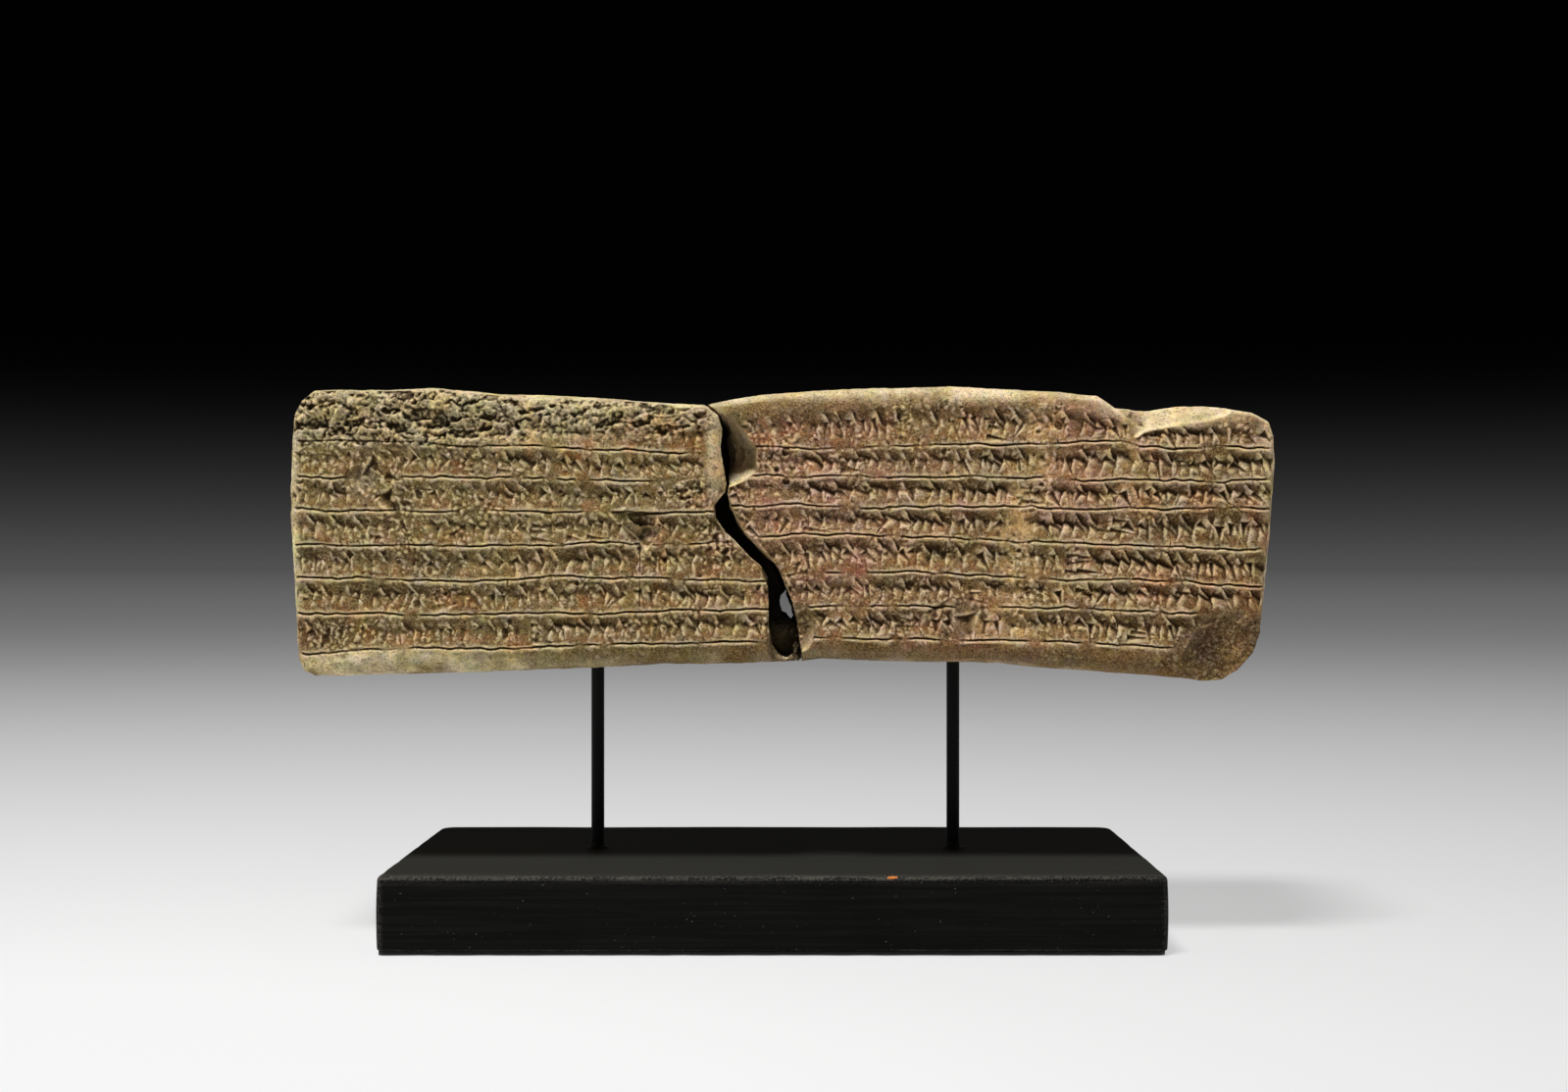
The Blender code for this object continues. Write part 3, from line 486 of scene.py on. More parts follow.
def sweep(sheet, keep, reach):
    """Each cell's lowest or highest neighbour within a round reach, counted in cells."""
    padded = np.pad(sheet, reach, mode="edge")
    rows, columns = sheet.shape
    result = sheet
    for i, j in itertools.product(range(-reach, reach + 1), repeat=2):
        if i * i + j * j <= reach * reach + 1:
            result = keep(result, padded[reach + i:reach + i + rows, reach + j:reach + j + columns])
    return result


# Roughness in space, for the sides and the back

def cloud(points, size, seed):
    """Smooth noise at points in space, about -1 to 1, with lumps of this size."""
    count = 64
    lattice = np.random.default_rng(seed).uniform(-1, 1, (count, count, count))
    place = points / size + count * 8
    corner = np.floor(place).astype(int)
    share = place - corner
    share = share * share * (3 - 2 * share)
    total = np.zeros(len(points))
    for step in itertools.product((0, 1), repeat=3):
        weight = np.prod(np.where(step, share, 1 - share), axis=1)
        i, j, k = ((corner + step) % count).T
        total += weight * lattice[i, j, k]
    return total


def crumble(points, seed):
    """Uneven clay in space: broad lumps, smaller ones on them, and grit."""
    broad = cloud(points, 14 * MM, seed)
    lumpy = cloud(points, 5 * MM, seed + 1)
    small = cloud(points, 2.2 * MM, seed + 2)
    grit = cloud(points, 1.1 * MM, seed + 3)
    return 0.45 * broad + 0.40 * lumpy + 0.28 * small + 0.20 * grit


# Meshes in and out of arrays

def read_points(mesh):
    points = np.empty(len(mesh.vertices) * 3, np.float32)
    mesh.vertices.foreach_get("co", points)
    return points.reshape(-1, 3).astype(float)


def read_normals(mesh):
    normals = np.empty(len(mesh.vertices) * 3, np.float32)
    mesh.vertex_normals.foreach_get("vector", normals)
    return normals.reshape(-1, 3).astype(float)


def write_points(mesh, points):
    mesh.vertices.foreach_set("co", points.astype(np.float32).ravel())
    mesh.update()


def paint_points(mesh, name, values):
    """Keep a number for each point of a mesh, which a material reads by its name."""
    attribute = mesh.attributes.new(name, "FLOAT", "POINT")
    attribute.data.foreach_set("value", np.clip(values, 0, 1).astype(np.float32))


def mesh_from(bm, name):
    """A body as a mesh of this name."""
    mesh = bpy.data.meshes.new(name)
    bm.to_mesh(mesh)
    bm.free()
    return mesh


def make_object(name, mesh, material):
    item = bpy.data.objects.new(name, mesh)
    bpy.context.scene.collection.objects.link(item)
    mesh.materials.clear()
    mesh.materials.append(material)
    return item


def make_piece(name, mesh, material, node):
    """A mesh as the piece that shows in a solid's place."""
    item = make_object(name, mesh, material)
    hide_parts(node)
    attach(item, "root")


def through_modifier(mesh, kind, group=None, **settings):
    """A mesh as one modifier leaves it, with a vertex group of these points if they are given."""
    item = bpy.data.objects.new("workpiece", mesh)
    bpy.context.scene.collection.objects.link(item)
    if group is not None:
        item.vertex_groups.new(name="group").add(group.tolist(), 1.0, "REPLACE")
    modifier = item.modifiers.new(kind, kind)
    for name, value in settings.items():
        setattr(modifier, name, value)
    bpy.context.view_layer.update()
    result = bpy.data.meshes.new_from_object(item.evaluated_get(bpy.context.evaluated_depsgraph_get()))
    bpy.data.objects.remove(item)
    return result


# The fragments

def place_on_face(u, v):
    return Vector((FACE_LEFT + u * FACE_WIDTH, FACE_Y, FACE_BOTTOM + v * FACE_HEIGHT))


def shares_of_face(x, z):
    return (x - FACE_LEFT) / FACE_WIDTH, (z - FACE_BOTTOM) / FACE_HEIGHT


def shape_of_opening(outline, depth):
    """A block that widens away from the camera, so that its sides are seen on edge."""
    bm = bmesh.new()
    start = [place_on_face(u, v) - Vector((0, 2 * MM, 0)) for u, v in outline]
    face = bm.faces.new([bm.verts.new(place) for place in start])
    far = bmesh.ops.extrude_face_region(bm, geom=[face])["geom"]
    eye = Vector(CAMERA_PLACE)
    for vert in far:
        if isinstance(vert, bmesh.types.BMVert):
            vert.co = eye + (vert.co - eye) * (1 + (depth + 2 * MM) / (FACE_Y - eye.y))
    bmesh.ops.recalc_face_normals(bm, faces=bm.faces)
    return bm


def shape_of_hollow(u, v, across, inwards, up):
    bm = bmesh.new()
    place = Matrix.Translation(place_on_face(u, v)) @ Matrix.Diagonal((across, inwards, up, 1))
    bmesh.ops.create_icosphere(bm, subdivisions=3, radius=1, matrix=place)
    return bm


def open_up(node):
    """A copy of a fragment's solid with the break opened as wide as its front shows it."""
    bm = bmesh.new()
    bm.from_mesh(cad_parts[node].data)
    bmesh.ops.remove_doubles(bm, verts=bm.verts, dist=SAME_PLACE)
    solid = mesh_from(bm, node)
    shapes = [shape_of_opening(OPEN_BREAK, OPEN_DEPTH), shape_of_opening(THROUGH_BREAK, 105 * MM)]
    shapes += [shape_of_hollow(*hollow) for hollow in BREAK_HOLLOWS
               if node == "brick_right" or hollow is LOWER_HOLLOW]
    for shape in shapes:
        tool = bpy.data.objects.new("cutter", mesh_from(shape, "cutter"))
        bpy.context.scene.collection.objects.link(tool)
        solid = through_modifier(solid, "BOOLEAN", operation="DIFFERENCE", object=tool, solver="EXACT")
        bpy.data.objects.remove(tool)
    return solid


def count_triangles(mesh):
    return len(mesh.loops) - 2 * len(mesh.polygons)


def thin(mesh, chosen, triangles):
    """Thin a mesh to this many triangles by merging its chosen points alone."""
    return through_modifier(mesh, "DECIMATE", group=np.flatnonzero(chosen), vertex_group="group",
                            vertex_group_factor=0, ratio=triangles / count_triangles(mesh))


def keep_inside(points, node):
    """Points moved back into the solid's box wherever they stand out of it."""
    low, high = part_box(node)
    return np.clip(points, (low.x, -1, low.z), (high.x, high.y, high.z))


def make_fragment(name, node, solid, front, relief, material):
    """A fragment: the solid's form with a fine skin, pressed with the face's relief."""
    bare, _, steady = front
    skin = through_modifier(solid, "REMESH", mode="VOXEL", voxel_size=CLAY_GRAIN)

    points, normals = read_points(skin), read_normals(skin)
    x, y, z = points.T
    base = read_sheet(bare, x, z)
    faces_front = read_sheet(steady, x, z) * (y - base < SKIN_DEPTH) * (y - base > -1.0 * MM)
    back_from, back_to = ROUGH_BACK
    roughness = 0.35 * MM + 1.0 * MM * ease(FACE_Y + back_from, FACE_Y + back_to, y)
    u, v = shares_of_face(x, z)
    near_break = 1 - ease(8 * MM, 12 * MM, np.abs(u - along(BREAK, v)) * FACE_WIDTH)
    behind_face = ease(1 * MM, 4 * MM, y - FACE_Y)
    upright = 1 - ease(0.3, 0.6, np.abs(normals[:, 2]))
    roughness += 1.1 * MM * near_break * behind_face * upright
    rough = points + normals * ((crumble(points, 50) - 0.5) * roughness)[:, None]
    grit = read_sheet(relief - soften(relief, 1.6 * MM), x, z)
    rough[:, 1] += 1.2 * grit * ease(0.3, 0.7, -normals[:, 1]) * (y < FACE_Y + 30 * MM)
    pressed = points.copy()
    pressed[:, 1] = base + read_sheet(relief, x, z)
    points = rough + (pressed - rough) * faces_front[:, None]
    write_points(skin, keep_inside(points, node))

    in_rest = read_points(skin)[:, 1] > FACE_Y + FRONT_DEPTH
    faces_in_rest = sum(in_rest[face.vertices[0]] for face in skin.polygons)
    mesh = thin(skin, in_rest, count_triangles(skin) - 2 * faces_in_rest + REST_TRIANGLES)
    mesh = thin(mesh, read_points(mesh)[:, 1] <= FACE_Y + FRONT_DEPTH, CLAY_TRIANGLES)
    write_points(mesh, keep_inside(read_points(mesh), node))
    mesh.shade_smooth()
    mesh.set_sharp_from_angle(angle=CLAY_CREASE)
    colour_clay(mesh, front, relief)
    make_piece(name, mesh, material, node)


def colour_clay(mesh, front, relief):
    """Say at each point how olive, pink, cream, rusty, brown or worn the clay is, where soil and painted
    shade darken it, and where painted highlight lightens it.
    """
    bare, written, steady = front
    points, normals = read_points(mesh), read_normals(mesh)
    x, y, z = points.T
    u, v = shares_of_face(x, z)

    def read(sheet):
        return read_sheet(sheet, x, z)

    face = read(steady) * (y - read(bare) < 5 * MM)
    skin = read(written) * face
    mottle = cloud(points, 9 * MM, 60) + 0.6 * cloud(points, 4 * MM, 61)
    fleck = cloud(points, 1.8 * MM, 62)

    # Soil and painted shade: the hollows of the relief and its thin slits are painted dark where the
    # surface sinks in.
    cup = read(relief - soften(relief, 1.0 * MM))
    cup = cup * face + (1 - face) * 0.12 * MM * crumble(points, 50)
    wide_cup = read(soften(relief, 0.5 * MM) - soften(relief, 3.0 * MM)) * face
    thin_cup = read(relief - soften(relief, 0.5 * MM)) * face / MM
    paint_points(mesh, "hollow", 0.6 * ease(0.06, 0.6, cup / MM) + 0.6 * ease(0.04, 0.22, thin_cup)
                 + 0.35 * ease(0.1, 0.7, wide_cup / MM))
    eroded, corner = patches(ERODED_PATCHES, 0.35), patches(CORNER_PATCHES)
    # Crests of the relief are painted pale: worn clay, and partly painted highlight.
    crest = 0.35 * ease(0.06, 0.35, -cup / MM) + 0.75 * ease(0.03, 0.14, -thin_cup)
    crest += 0.6 * (read(eroded) * face) * ease(0.0, 0.5, -wide_cup / MM)
    paint_points(mesh, "ridge", crest * (1 - 0.6 * read(corner)))
    in_row, down = find_rows()
    # Soil and painted shade in the band under each row's upper edge.
    paint_points(mesh, "soil_and_painted_shade", read(soil_and_shade_in_rows()) * skin)
    paint_points(mesh, "proud", read(in_row * ease(0.55, 0.75, down)) * skin)
    paint_points(mesh, "faceted", read(in_row * 0.30 + np.maximum(eroded, 0.25 * corner)) * face)

    to_left = 1 - ease(0.36, 0.62, u + 0.03 * mottle)
    paint_points(mesh, "olive", (0.25 + 0.65 * to_left + 0.35 * mottle) * (0.35 + 0.65 * face))
    pink = read(patches(PINK_PATCHES)) * face * (0.8 + 0.5 * mottle)
    paint_points(mesh, "pink", pink + 0.5 * (1 - to_left) * ease(-0.2, 0.8, mottle))
    sand = read(patches(SAND_PATCHES)) * face
    paint_points(mesh, "sand", sand * (0.75 + 0.5 * mottle + 0.3 * fleck))

    # Pale clay and dust, and partly painted highlight: the left and right edge strips and the faces that
    # look up are painted pale.
    edges = 1 - ease(0.004, 0.016, u) * (1 - ease(0.978, 0.990, u))
    upward = ease(0.25, 0.75, normals[:, 2]) * (1 - skin)
    brown = read(patches(BROWN_PATCHES)) * face * (0.8 + 0.5 * mottle)
    in_corner = read(corner) * (1 - ease(8 * MM, 26 * MM, y - FACE_Y + 5 * MM * mottle))
    cream = read(patches(CREAM_PATCHES)) * (0.75 + 0.45 * mottle + 0.3 * fleck)
    cream = np.maximum(cream, edges * (0.8 + 0.3 * mottle))
    cream = np.maximum(cream, upward * (0.85 + 0.3 * mottle))
    cream = np.maximum(cream, (1 - skin) * (0.35 + 0.3 * mottle))
    paint_points(mesh, "cream", cream * (1 - in_corner) * (1 - np.clip(brown, 0, 1)))

    rust = read(patches(RUST_PATCHES)) * face * ease(-0.5, 0.9, mottle + 0.6 * fleck)
    rust += (0.5 + 0.4 * ease(0.75, 0.85, u)) * skin * ease(0.45, 1.1, mottle + 0.7 * fleck)
    paint_points(mesh, "rust", rust)
    brown = np.maximum(brown, in_corner * (0.75 + 0.4 * mottle + 0.3 * fleck))
    in_break = 1 - ease(9 * MM, 13 * MM, np.abs(u - along(BREAK, v)) * FACE_WIDTH)
    inwards = y - FACE_Y
    # The break's walls are painted brown: the clay's colour inside, and partly painted shade.
    paint_points(mesh, "brown", np.maximum(brown, 0.8 * in_break * ease(1.5 * MM, 5 * MM, inwards)))
    # Painted shadow: deeper in the break the walls are painted near black, less so low down and right of
    # the notch, and not at the top.
    dark = in_break * ease(4 * MM, 15 * MM, inwards) * (1 - ease(80 * MM, 96 * MM, inwards))
    right_of_notch = ease(2 * MM, 7 * MM, (u - 0.435) * FACE_WIDTH) * ease(0.62, 0.66, v)
    dark *= (1 - 0.75 * right_of_notch) * (0.45 + 0.55 * ease(0.15, 0.21, v)) * (1 - ease(0.87, 0.92, v))
    paint_points(mesh, "dark", dark)

    # Painted light: facets of the relief that face up are painted lighter, as dust and as painted
    # highlight, and those that face down are painted darker, as painted shade.
    facing_up = read(np.gradient(soften(relief, 0.3 * MM), CELL)[0]) * face
    paint_points(mesh, "dust_and_top_light", ease(0.10, 0.60, facing_up))
    paint_points(mesh, "painted_shade_facing_down", ease(0.10, 0.50, -facing_up))


# The block, its felt and the rods

def slice_finely(bm, low, high, pitch):
    """Cut a body into cells along all three axes, so that its surface can be dented."""
    for axis in range(3):
        normal = Vector([float(i == axis) for i in range(3)])
        count = round((high[axis] - low[axis]) / pitch)
        for i in range(1, count):
            place = low.copy()
            place[axis] += (high[axis] - low[axis]) * i / count
            bmesh.ops.bisect_plane(bm, geom=bm.verts[:] + bm.edges[:] + bm.faces[:], dist=SAME_PLACE,
                                   plane_co=place, plane_no=normal)


def round_edges(bm, chosen, radius, steps):
    edges = [edge for edge in bm.edges if chosen(*(vert.co for vert in edge.verts))]
    bmesh.ops.bevel(bm, geom=edges, offset=radius, segments=steps, profile=0.5, affect="EDGES", material=-1)


def rounded_slab(low, high, front_radius, back_radius):
    """A slab between two corners, with rounded upright edges."""
    bm = bmesh.new()
    middle = Matrix.Translation((low + high) / 2)
    bmesh.ops.create_cube(bm, size=1, matrix=middle @ Matrix.Diagonal((*(high - low), 1)))
    height = high.z - low.z
    for side, radius in ((-1, front_radius), (1, back_radius)):
        round_edges(bm, lambda a, b: abs(a.z - b.z) > height / 2 and a.y * side > 0, radius, 6)
    return bm


def make_block(material):
    """The painted block: bellied sides, softened and knocked edges."""
    low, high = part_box("base_block")
    bm = rounded_slab(low, high, *BLOCK_CORNERS)
    round_edges(bm, lambda a, b: min(a.z, b.z) > high.z - 0.01 * MM, 1.8 * MM, 4)
    round_edges(bm, lambda a, b: max(a.z, b.z) < low.z + 0.01 * MM, 0.8 * MM, 3)
    slice_finely(bm, low, high, BLOCK_PITCH)
    mesh = mesh_from(bm, "black_block")

    points, normals = read_points(mesh), read_normals(mesh)
    on_edge = 1 - ease(0.90, 0.995, np.abs(normals).max(axis=1))
    knocks = ease(0.15, 0.8, cloud(points, 11 * MM, 70)) * on_edge
    belly = ((points[:, 2] - (low.z + high.z) / 2) / ((high.z - low.z) / 2)) ** 2
    side = np.abs(normals[:, 0]) * belly
    inward = 0.10 * MM * (1 + cloud(points, 26 * MM, 71)) + 0.35 * MM * knocks + 0.45 * MM * side
    write_points(mesh, points - normals * inward[:, None])
    points = read_points(mesh)
    front = 1 - ease(low.y + 1.5 * MM, low.y + 9 * MM, points[:, 1])
    top_front = front * ease(high.z - 3 * MM, high.z - 0.6 * MM, points[:, 2])
    # Painted light: the block's top is painted lighter, as dust and as light from above.
    paint_points(mesh, "dust_and_top_light", ease(0.6, 0.95, normals[:, 2]))
    # The edges are painted grey where worn, with a painted highlight along the top front edge.
    paint_points(mesh, "rubbed_and_highlit", on_edge * (0.35 + 0.4 * cloud(points, 9 * MM, 72)) + 0.35 * top_front)
    mesh.shade_smooth()
    make_piece("black_block", mesh, material, "base_block")


def make_felt(material):
    """The felt under the block, with an uneven, slightly fluffy edge."""
    low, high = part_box("base_felt")
    bm = rounded_slab(low, high, *FELT_CORNERS)
    slice_finely(bm, low, high, FELT_PITCH)
    for vert in bm.verts:
        if vert.co.z > (low.z + high.z) / 2:
            vert.co.z += 0.2 * MM
    mesh = mesh_from(bm, "felt_pad")
    points, normals = read_points(mesh), read_normals(mesh)
    rim = ease(0.3, 0.7, np.hypot(normals[:, 0], normals[:, 1]))
    outward = normals * np.array((1.0, 1.0, 0.0))
    stray = 0.5 * cloud(points, 7 * MM, 80) + 0.35 * cloud(points, 3.2 * MM, 81)
    points += outward * (rim * stray * 0.9 * MM)[:, None]
    write_points(mesh, points)
    mesh.shade_smooth()
    make_piece("felt_pad", mesh, material, "base_felt")


def make_rod(name, node, material):
    """A turned rod with a low bead of paint where it enters the block."""
    low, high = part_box(node)
    radius = (high.x - low.x) / 2
    middle = Vector(((low.x + high.x) / 2, (low.y + high.y) / 2, 0))
    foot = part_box("base_block")[1].z
    bead = [(1.7, -0.5), (1.7, 0.05), (1.45, 0.35), (0.9, 0.55), (0.4, 0.85), (0.1, 1.4), (0.0, 2.2)]
    profile = [(0, low.z), (radius, low.z)]
    profile += [(radius + out * MM, foot + up * MM) for out, up in bead]
    profile += [(radius, foot + 8 * MM * (i + 1)) for i in range(int((high.z - foot) / (8 * MM)))]
    profile += [(radius, high.z), (0, high.z)]
    bm = bmesh.new()
    verts = [bm.verts.new((middle.x + out, middle.y, up)) for out, up in profile]
    edges = [bm.edges.new(pair) for pair in zip(verts, verts[1:])]
    bmesh.ops.spin(bm, geom=verts + edges, cent=middle, axis=(0, 0, 1), angle=2 * math.pi, steps=48,
                   use_merge=True)
    bmesh.ops.remove_doubles(bm, verts=bm.verts, dist=SAME_PLACE)
    bmesh.ops.recalc_face_normals(bm, faces=bm.faces)
    mesh = mesh_from(bm, name)
    mesh.shade_smooth()
    mesh.set_sharp_from_angle(angle=math.radians(50))
    make_piece(name, mesh, material, node)


# Materials

class Value:
    """A socket of a tree of nodes, on which sums and products become nodes."""

    def __init__(self, tree, socket):
        self.tree = tree
        self.socket = socket

    def math(self, operation, *others, clamp=False):
        values = dict(enumerate((self, *others)))
        return self.tree.add("ShaderNodeMath", {"operation": operation, "use_clamp": clamp}, values)

    def __add__(self, other):
        return self.math("ADD", other)

    def __sub__(self, other):
        return self.math("SUBTRACT", other)

    def __rsub__(self, other):
        return self.tree.add("ShaderNodeMath", {"operation": "SUBTRACT"}, {0: other, 1: self})

    def __mul__(self, other):
        return self.math("MULTIPLY", other)

    def __pow__(self, other):
        return self.math("POWER", other)

    __radd__ = __add__
    __rmul__ = __mul__

    def clamped(self):
        return self.math("ADD", 0.0, clamp=True)

    def between(self, low, high):
        """0 below the low value, 1 above the high one, smooth between them."""
        return self.tree.add("ShaderNodeMapRange", {"interpolation_type": "SMOOTHSTEP"},
                               {"Value": self, "From Min": low, "From Max": high})


class Tree:
    """A tree of nodes in the making."""

    def __init__(self, tree):
        self.tree = tree

    def add(self, kind, settings=None, sockets=None, output=0):
        """A node: its settings first, and then the values or links of its sockets."""
        node = self.tree.nodes.new(kind)
        for name, value in (settings or {}).items():
            setattr(node, name, value)
        for name, value in (sockets or {}).items():
            self.join(value, node.inputs[name])
        return Value(self, node.outputs[output])

    def join(self, value, socket):
        if isinstance(value, Value):
            self.tree.links.new(value.socket, socket)
        else:
            socket.default_value = value


class Finish(Tree):
    """A material in the making around one shader."""

    def __init__(self, name, **constants):
        self.material = bpy.data.materials.new(name)
        self.material.use_nodes = True
        super().__init__(self.material.node_tree)
        self.place = self.add("ShaderNodeTexCoord", output="Object")
        self.shader = self.tree.nodes["Principled BSDF"]
        for socket, value in constants.items():
            self.shader.inputs[socket.replace("_", " ")].default_value = value

    def feed(self, **sockets):
        for name, value in sockets.items():
            self.join(value, self.shader.inputs[name.replace("_", " ")])

    def painted(self, name):
        """A number that the mesh keeps at its points."""
        return self.add("ShaderNodeAttribute", {"attribute_name": name}, output="Fac")

    def stretched(self, x, y, z):
        """The place on the piece, drawn out along the axes with the small factors."""
        return self.add("ShaderNodeMapping", sockets={"Vector": self.place, "Scale": (x, y, z)})

    def noise(self, size, detail=2.0, roughness=0.55, place=None, distortion=0.0):
        """Cloudy noise with lumps of about this size, from 0 to 1."""
        return self.add("ShaderNodeTexNoise", sockets={
            "Vector": place or self.place, "Scale": 1 / size, "Detail": detail, "Roughness": roughness,
            "Distortion": distortion})

    def spots(self, size):
        """Noise with a colour of its own in every lump."""
        return self.add("ShaderNodeTexNoise", sockets={"Vector": self.place, "Scale": 1 / size},
                        output="Color")

    def vector(self, operation, *values, output="Vector"):
        """A step of arithmetic on places, directions or colours."""
        return self.add("ShaderNodeVectorMath", {"operation": operation}, dict(enumerate(values)), output)

    def near(self, place, reach):
        """1 at a place on the piece, falling to 0 at this reach along each axis."""
        away = self.vector("DIVIDE", self.vector("SUBTRACT", self.place, place), reach)
        return 1 - self.vector("LENGTH", away, output="Value")

    def facets(self, size):
        """Flat chips of clay of about this size: how light each is, and its leaning surface."""
        stray = self.vector("MULTIPLY", self.spots(size), (size, size, size))
        place = self.vector("ADD", stray, self.place)
        light = self.add("ShaderNodeTexVoronoi", sockets={"Vector": place, "Scale": 1 / size},
                         output="Color")
        middle = Value(self, light.socket.node.outputs["Position"])
        out = self.vector("SUBTRACT", place, middle)
        lean = self.vector("SUBTRACT", light, (0.5, 0.5, 0.5))
        height = self.vector("DOT_PRODUCT", out, lean, output="Value")
        return light.between(0.25, 0.75), height * (1 / size)

    def mix(self, share, one, other, blend="MIX"):
        return self.add("ShaderNodeMix", {"data_type": "RGBA", "blend_type": blend},
                        {0: share, 6: one, 7: other}, output=2)

    def cover(self, tone, *layers):
        """A colour under others, each given as its share and as a screen shows it."""
        for share, shade in layers:
            tone = self.mix(share, tone, colour(*shade))
        return tone

    def scaled(self, tone, factor):
        """A colour made lighter or darker."""
        return self.add("ShaderNodeVectorMath", {"operation": "SCALE"}, {0: tone, "Scale": factor})

    def tinted(self, tone, size, strays):
        """A colour that strays by these shares in red, green and blue, in spots of this size."""
        least = tuple(1 - stray / 2 for stray in strays)
        return self.vector("MULTIPLY", tone, self.vector("MULTIPLY_ADD", self.spots(size), strays, least))

    def bump(self, height, distance, strength, under=None):
        sockets = {"Height": height, "Distance": distance, "Strength": strength}
        if under:
            sockets["Normal"] = under
        return self.add("ShaderNodeBump", sockets=sockets)


def colour(red, green, blue):
    """A colour as a screen shows it, from 0 to 255, in the linear values of a material."""
    return (*(((part / 255 + 0.055) / 1.055) ** 2.4 for part in (red, green, blue)), 1.0)


def clay_finish():
    """Weathered fired clay: olive and pink skins, pale dust, rusty flecks, soil and painted shade in the
    hollows and the break, and painted highlight on crests, edges and upward facets.
    """
    clay = Finish("weathered_clay", Roughness=0.92, Specular_IOR_Level=0.2)
    broad = clay.noise(16 * MM, 2)
    middling = clay.noise(4.5 * MM, 3, 0.6)
    fine = clay.noise(1.3 * MM, 4, 0.7)
    grain = clay.noise(0.65 * MM, 3, 0.7)
    veins = (1 - (clay.noise(2.6 * MM, 1) - 0.5).math("ABSOLUTE") * 26).clamped()
    veins = veins * middling.between(0.44, 0.56)
    # Dark specks for tiny pits, painted near black as their shade, with a small dent in the bump.
    specks = 1 - clay.noise(1.0 * MM, 1).between(0.26, 0.36)
    large_tone, large_height = clay.facets(3.6 * MM)
    small_tone, small_height = clay.facets(1.5 * MM)
    faceted = clay.painted("faceted")

    greenish = (middling * 0.6 + broad * 0.4).between(0.50, 0.60)
    brownish = (broad * 0.5 + middling * 0.5).between(0.49, 0.60)
    rusty = clay.painted("rust") * (fine * 0.5 + middling * 0.5).between(0.42, 0.56)
    sandy = (clay.painted("sand") * (0.55 + 1.1 * fine)).clamped()
    pale = (clay.painted("cream") * (0.45 + 1.1 * middling)).clamped()
    tone = clay.mix(clay.painted("olive"), colour(166, 120, 68), colour(140, 118, 66))
    tone = clay.cover(
        tone,
        (clay.painted("pink") * middling.between(0.20, 0.60), (190, 130, 108)),
        (greenish * 0.5, (136, 122, 68)),
        ((1 - brownish) * 0.25, (178, 150, 104)),
        (brownish * 0.55, (116, 78, 42)),
        (clay.painted("proud") * (1 - middling.between(0.42, 0.56)) * 0.65, (180, 122, 74)),
        (rusty * 0.8, (152, 86, 42)),
        # brown clay, with painted shade on the break's walls and bevel
        (clay.painted("brown") * 0.8, (88, 58, 28)),
        # soil and painted shade under the rows' upper edges
        (clay.painted("soil_and_painted_shade") * (0.25 + 0.75 * middling), (80, 56, 26)),
        (sandy * 0.9, (204, 168, 106)),
        (pale * 0.95, (238, 220, 174)))
    tone = clay.scaled(tone, 1 + faceted * (0.45 * large_tone + 0.35 * small_tone - 0.40))
    # Painted highlight and dust on facets that face up, and painted shade on facets that face down.
    tone = clay.cover(
        tone,
        (clay.painted("dust_and_top_light") * 0.22, (208, 178, 124)),
        (clay.painted("painted_shade_facing_down") * 0.45, (92, 64, 28)))
    lightness = 0.50 + 0.36 * fine.between(0.3, 0.7) + 0.52 * pale + 0.30 * clay.painted("sand")
    tone = clay.cover(
        clay.scaled(tone, lightness),
        (grain.between(0.53, 0.66) * 0.42, (218, 192, 140)),
        (veins * 0.35, (222, 196, 144)),
        # crests: worn pale clay and painted highlight
        (clay.painted("ridge") * 0.90, (244, 217, 170)),
        # soil and painted shade in the hollows
        (clay.painted("hollow") * 0.90, (50, 31, 7)),
        ((1 - grain.between(0.34, 0.47)) * 0.60, (50, 33, 9)),
        # painted shade of the tiny pits
        (specks * 0.65, (42, 27, 8)))
    tone = clay.mix(clay.painted("pink") * 0.9, tone, (1.09, 0.94, 1.05, 1.0), "MULTIPLY")
    tone = clay.mix(clay.painted("rust") * 0.8, tone, (1.13, 0.93, 0.78, 1.0), "MULTIPLY")
    tone = clay.mix(clay.painted("olive") * 0.8, tone, (0.95, 0.99, 0.96, 1.0), "MULTIPLY")
    tone = clay.tinted(tone, 9 * MM, (0.35, 0.0, 0.8))
    tone = clay.tinted(tone, 2.9 * MM, (0.25, 0.0, 0.7))
    tone = clay.tinted(tone, 1.1 * MM, (0.1, 0.0, 0.5))
    # Painted shadow inside the break.
    tone = clay.mix(clay.painted("dark") * 0.96, tone, colour(18, 14, 9))
    facets = clay.bump(faceted * (large_height * 2.4 + small_height), 1.8 * MM, 1.0)
    height = fine * 0.6 + grain * 0.45 + veins * 0.12 - specks * 0.15
    clay.feed(Base_Color=tone, Normal=clay.bump(height, 0.9 * MM, 0.9, facets))
    return clay.material


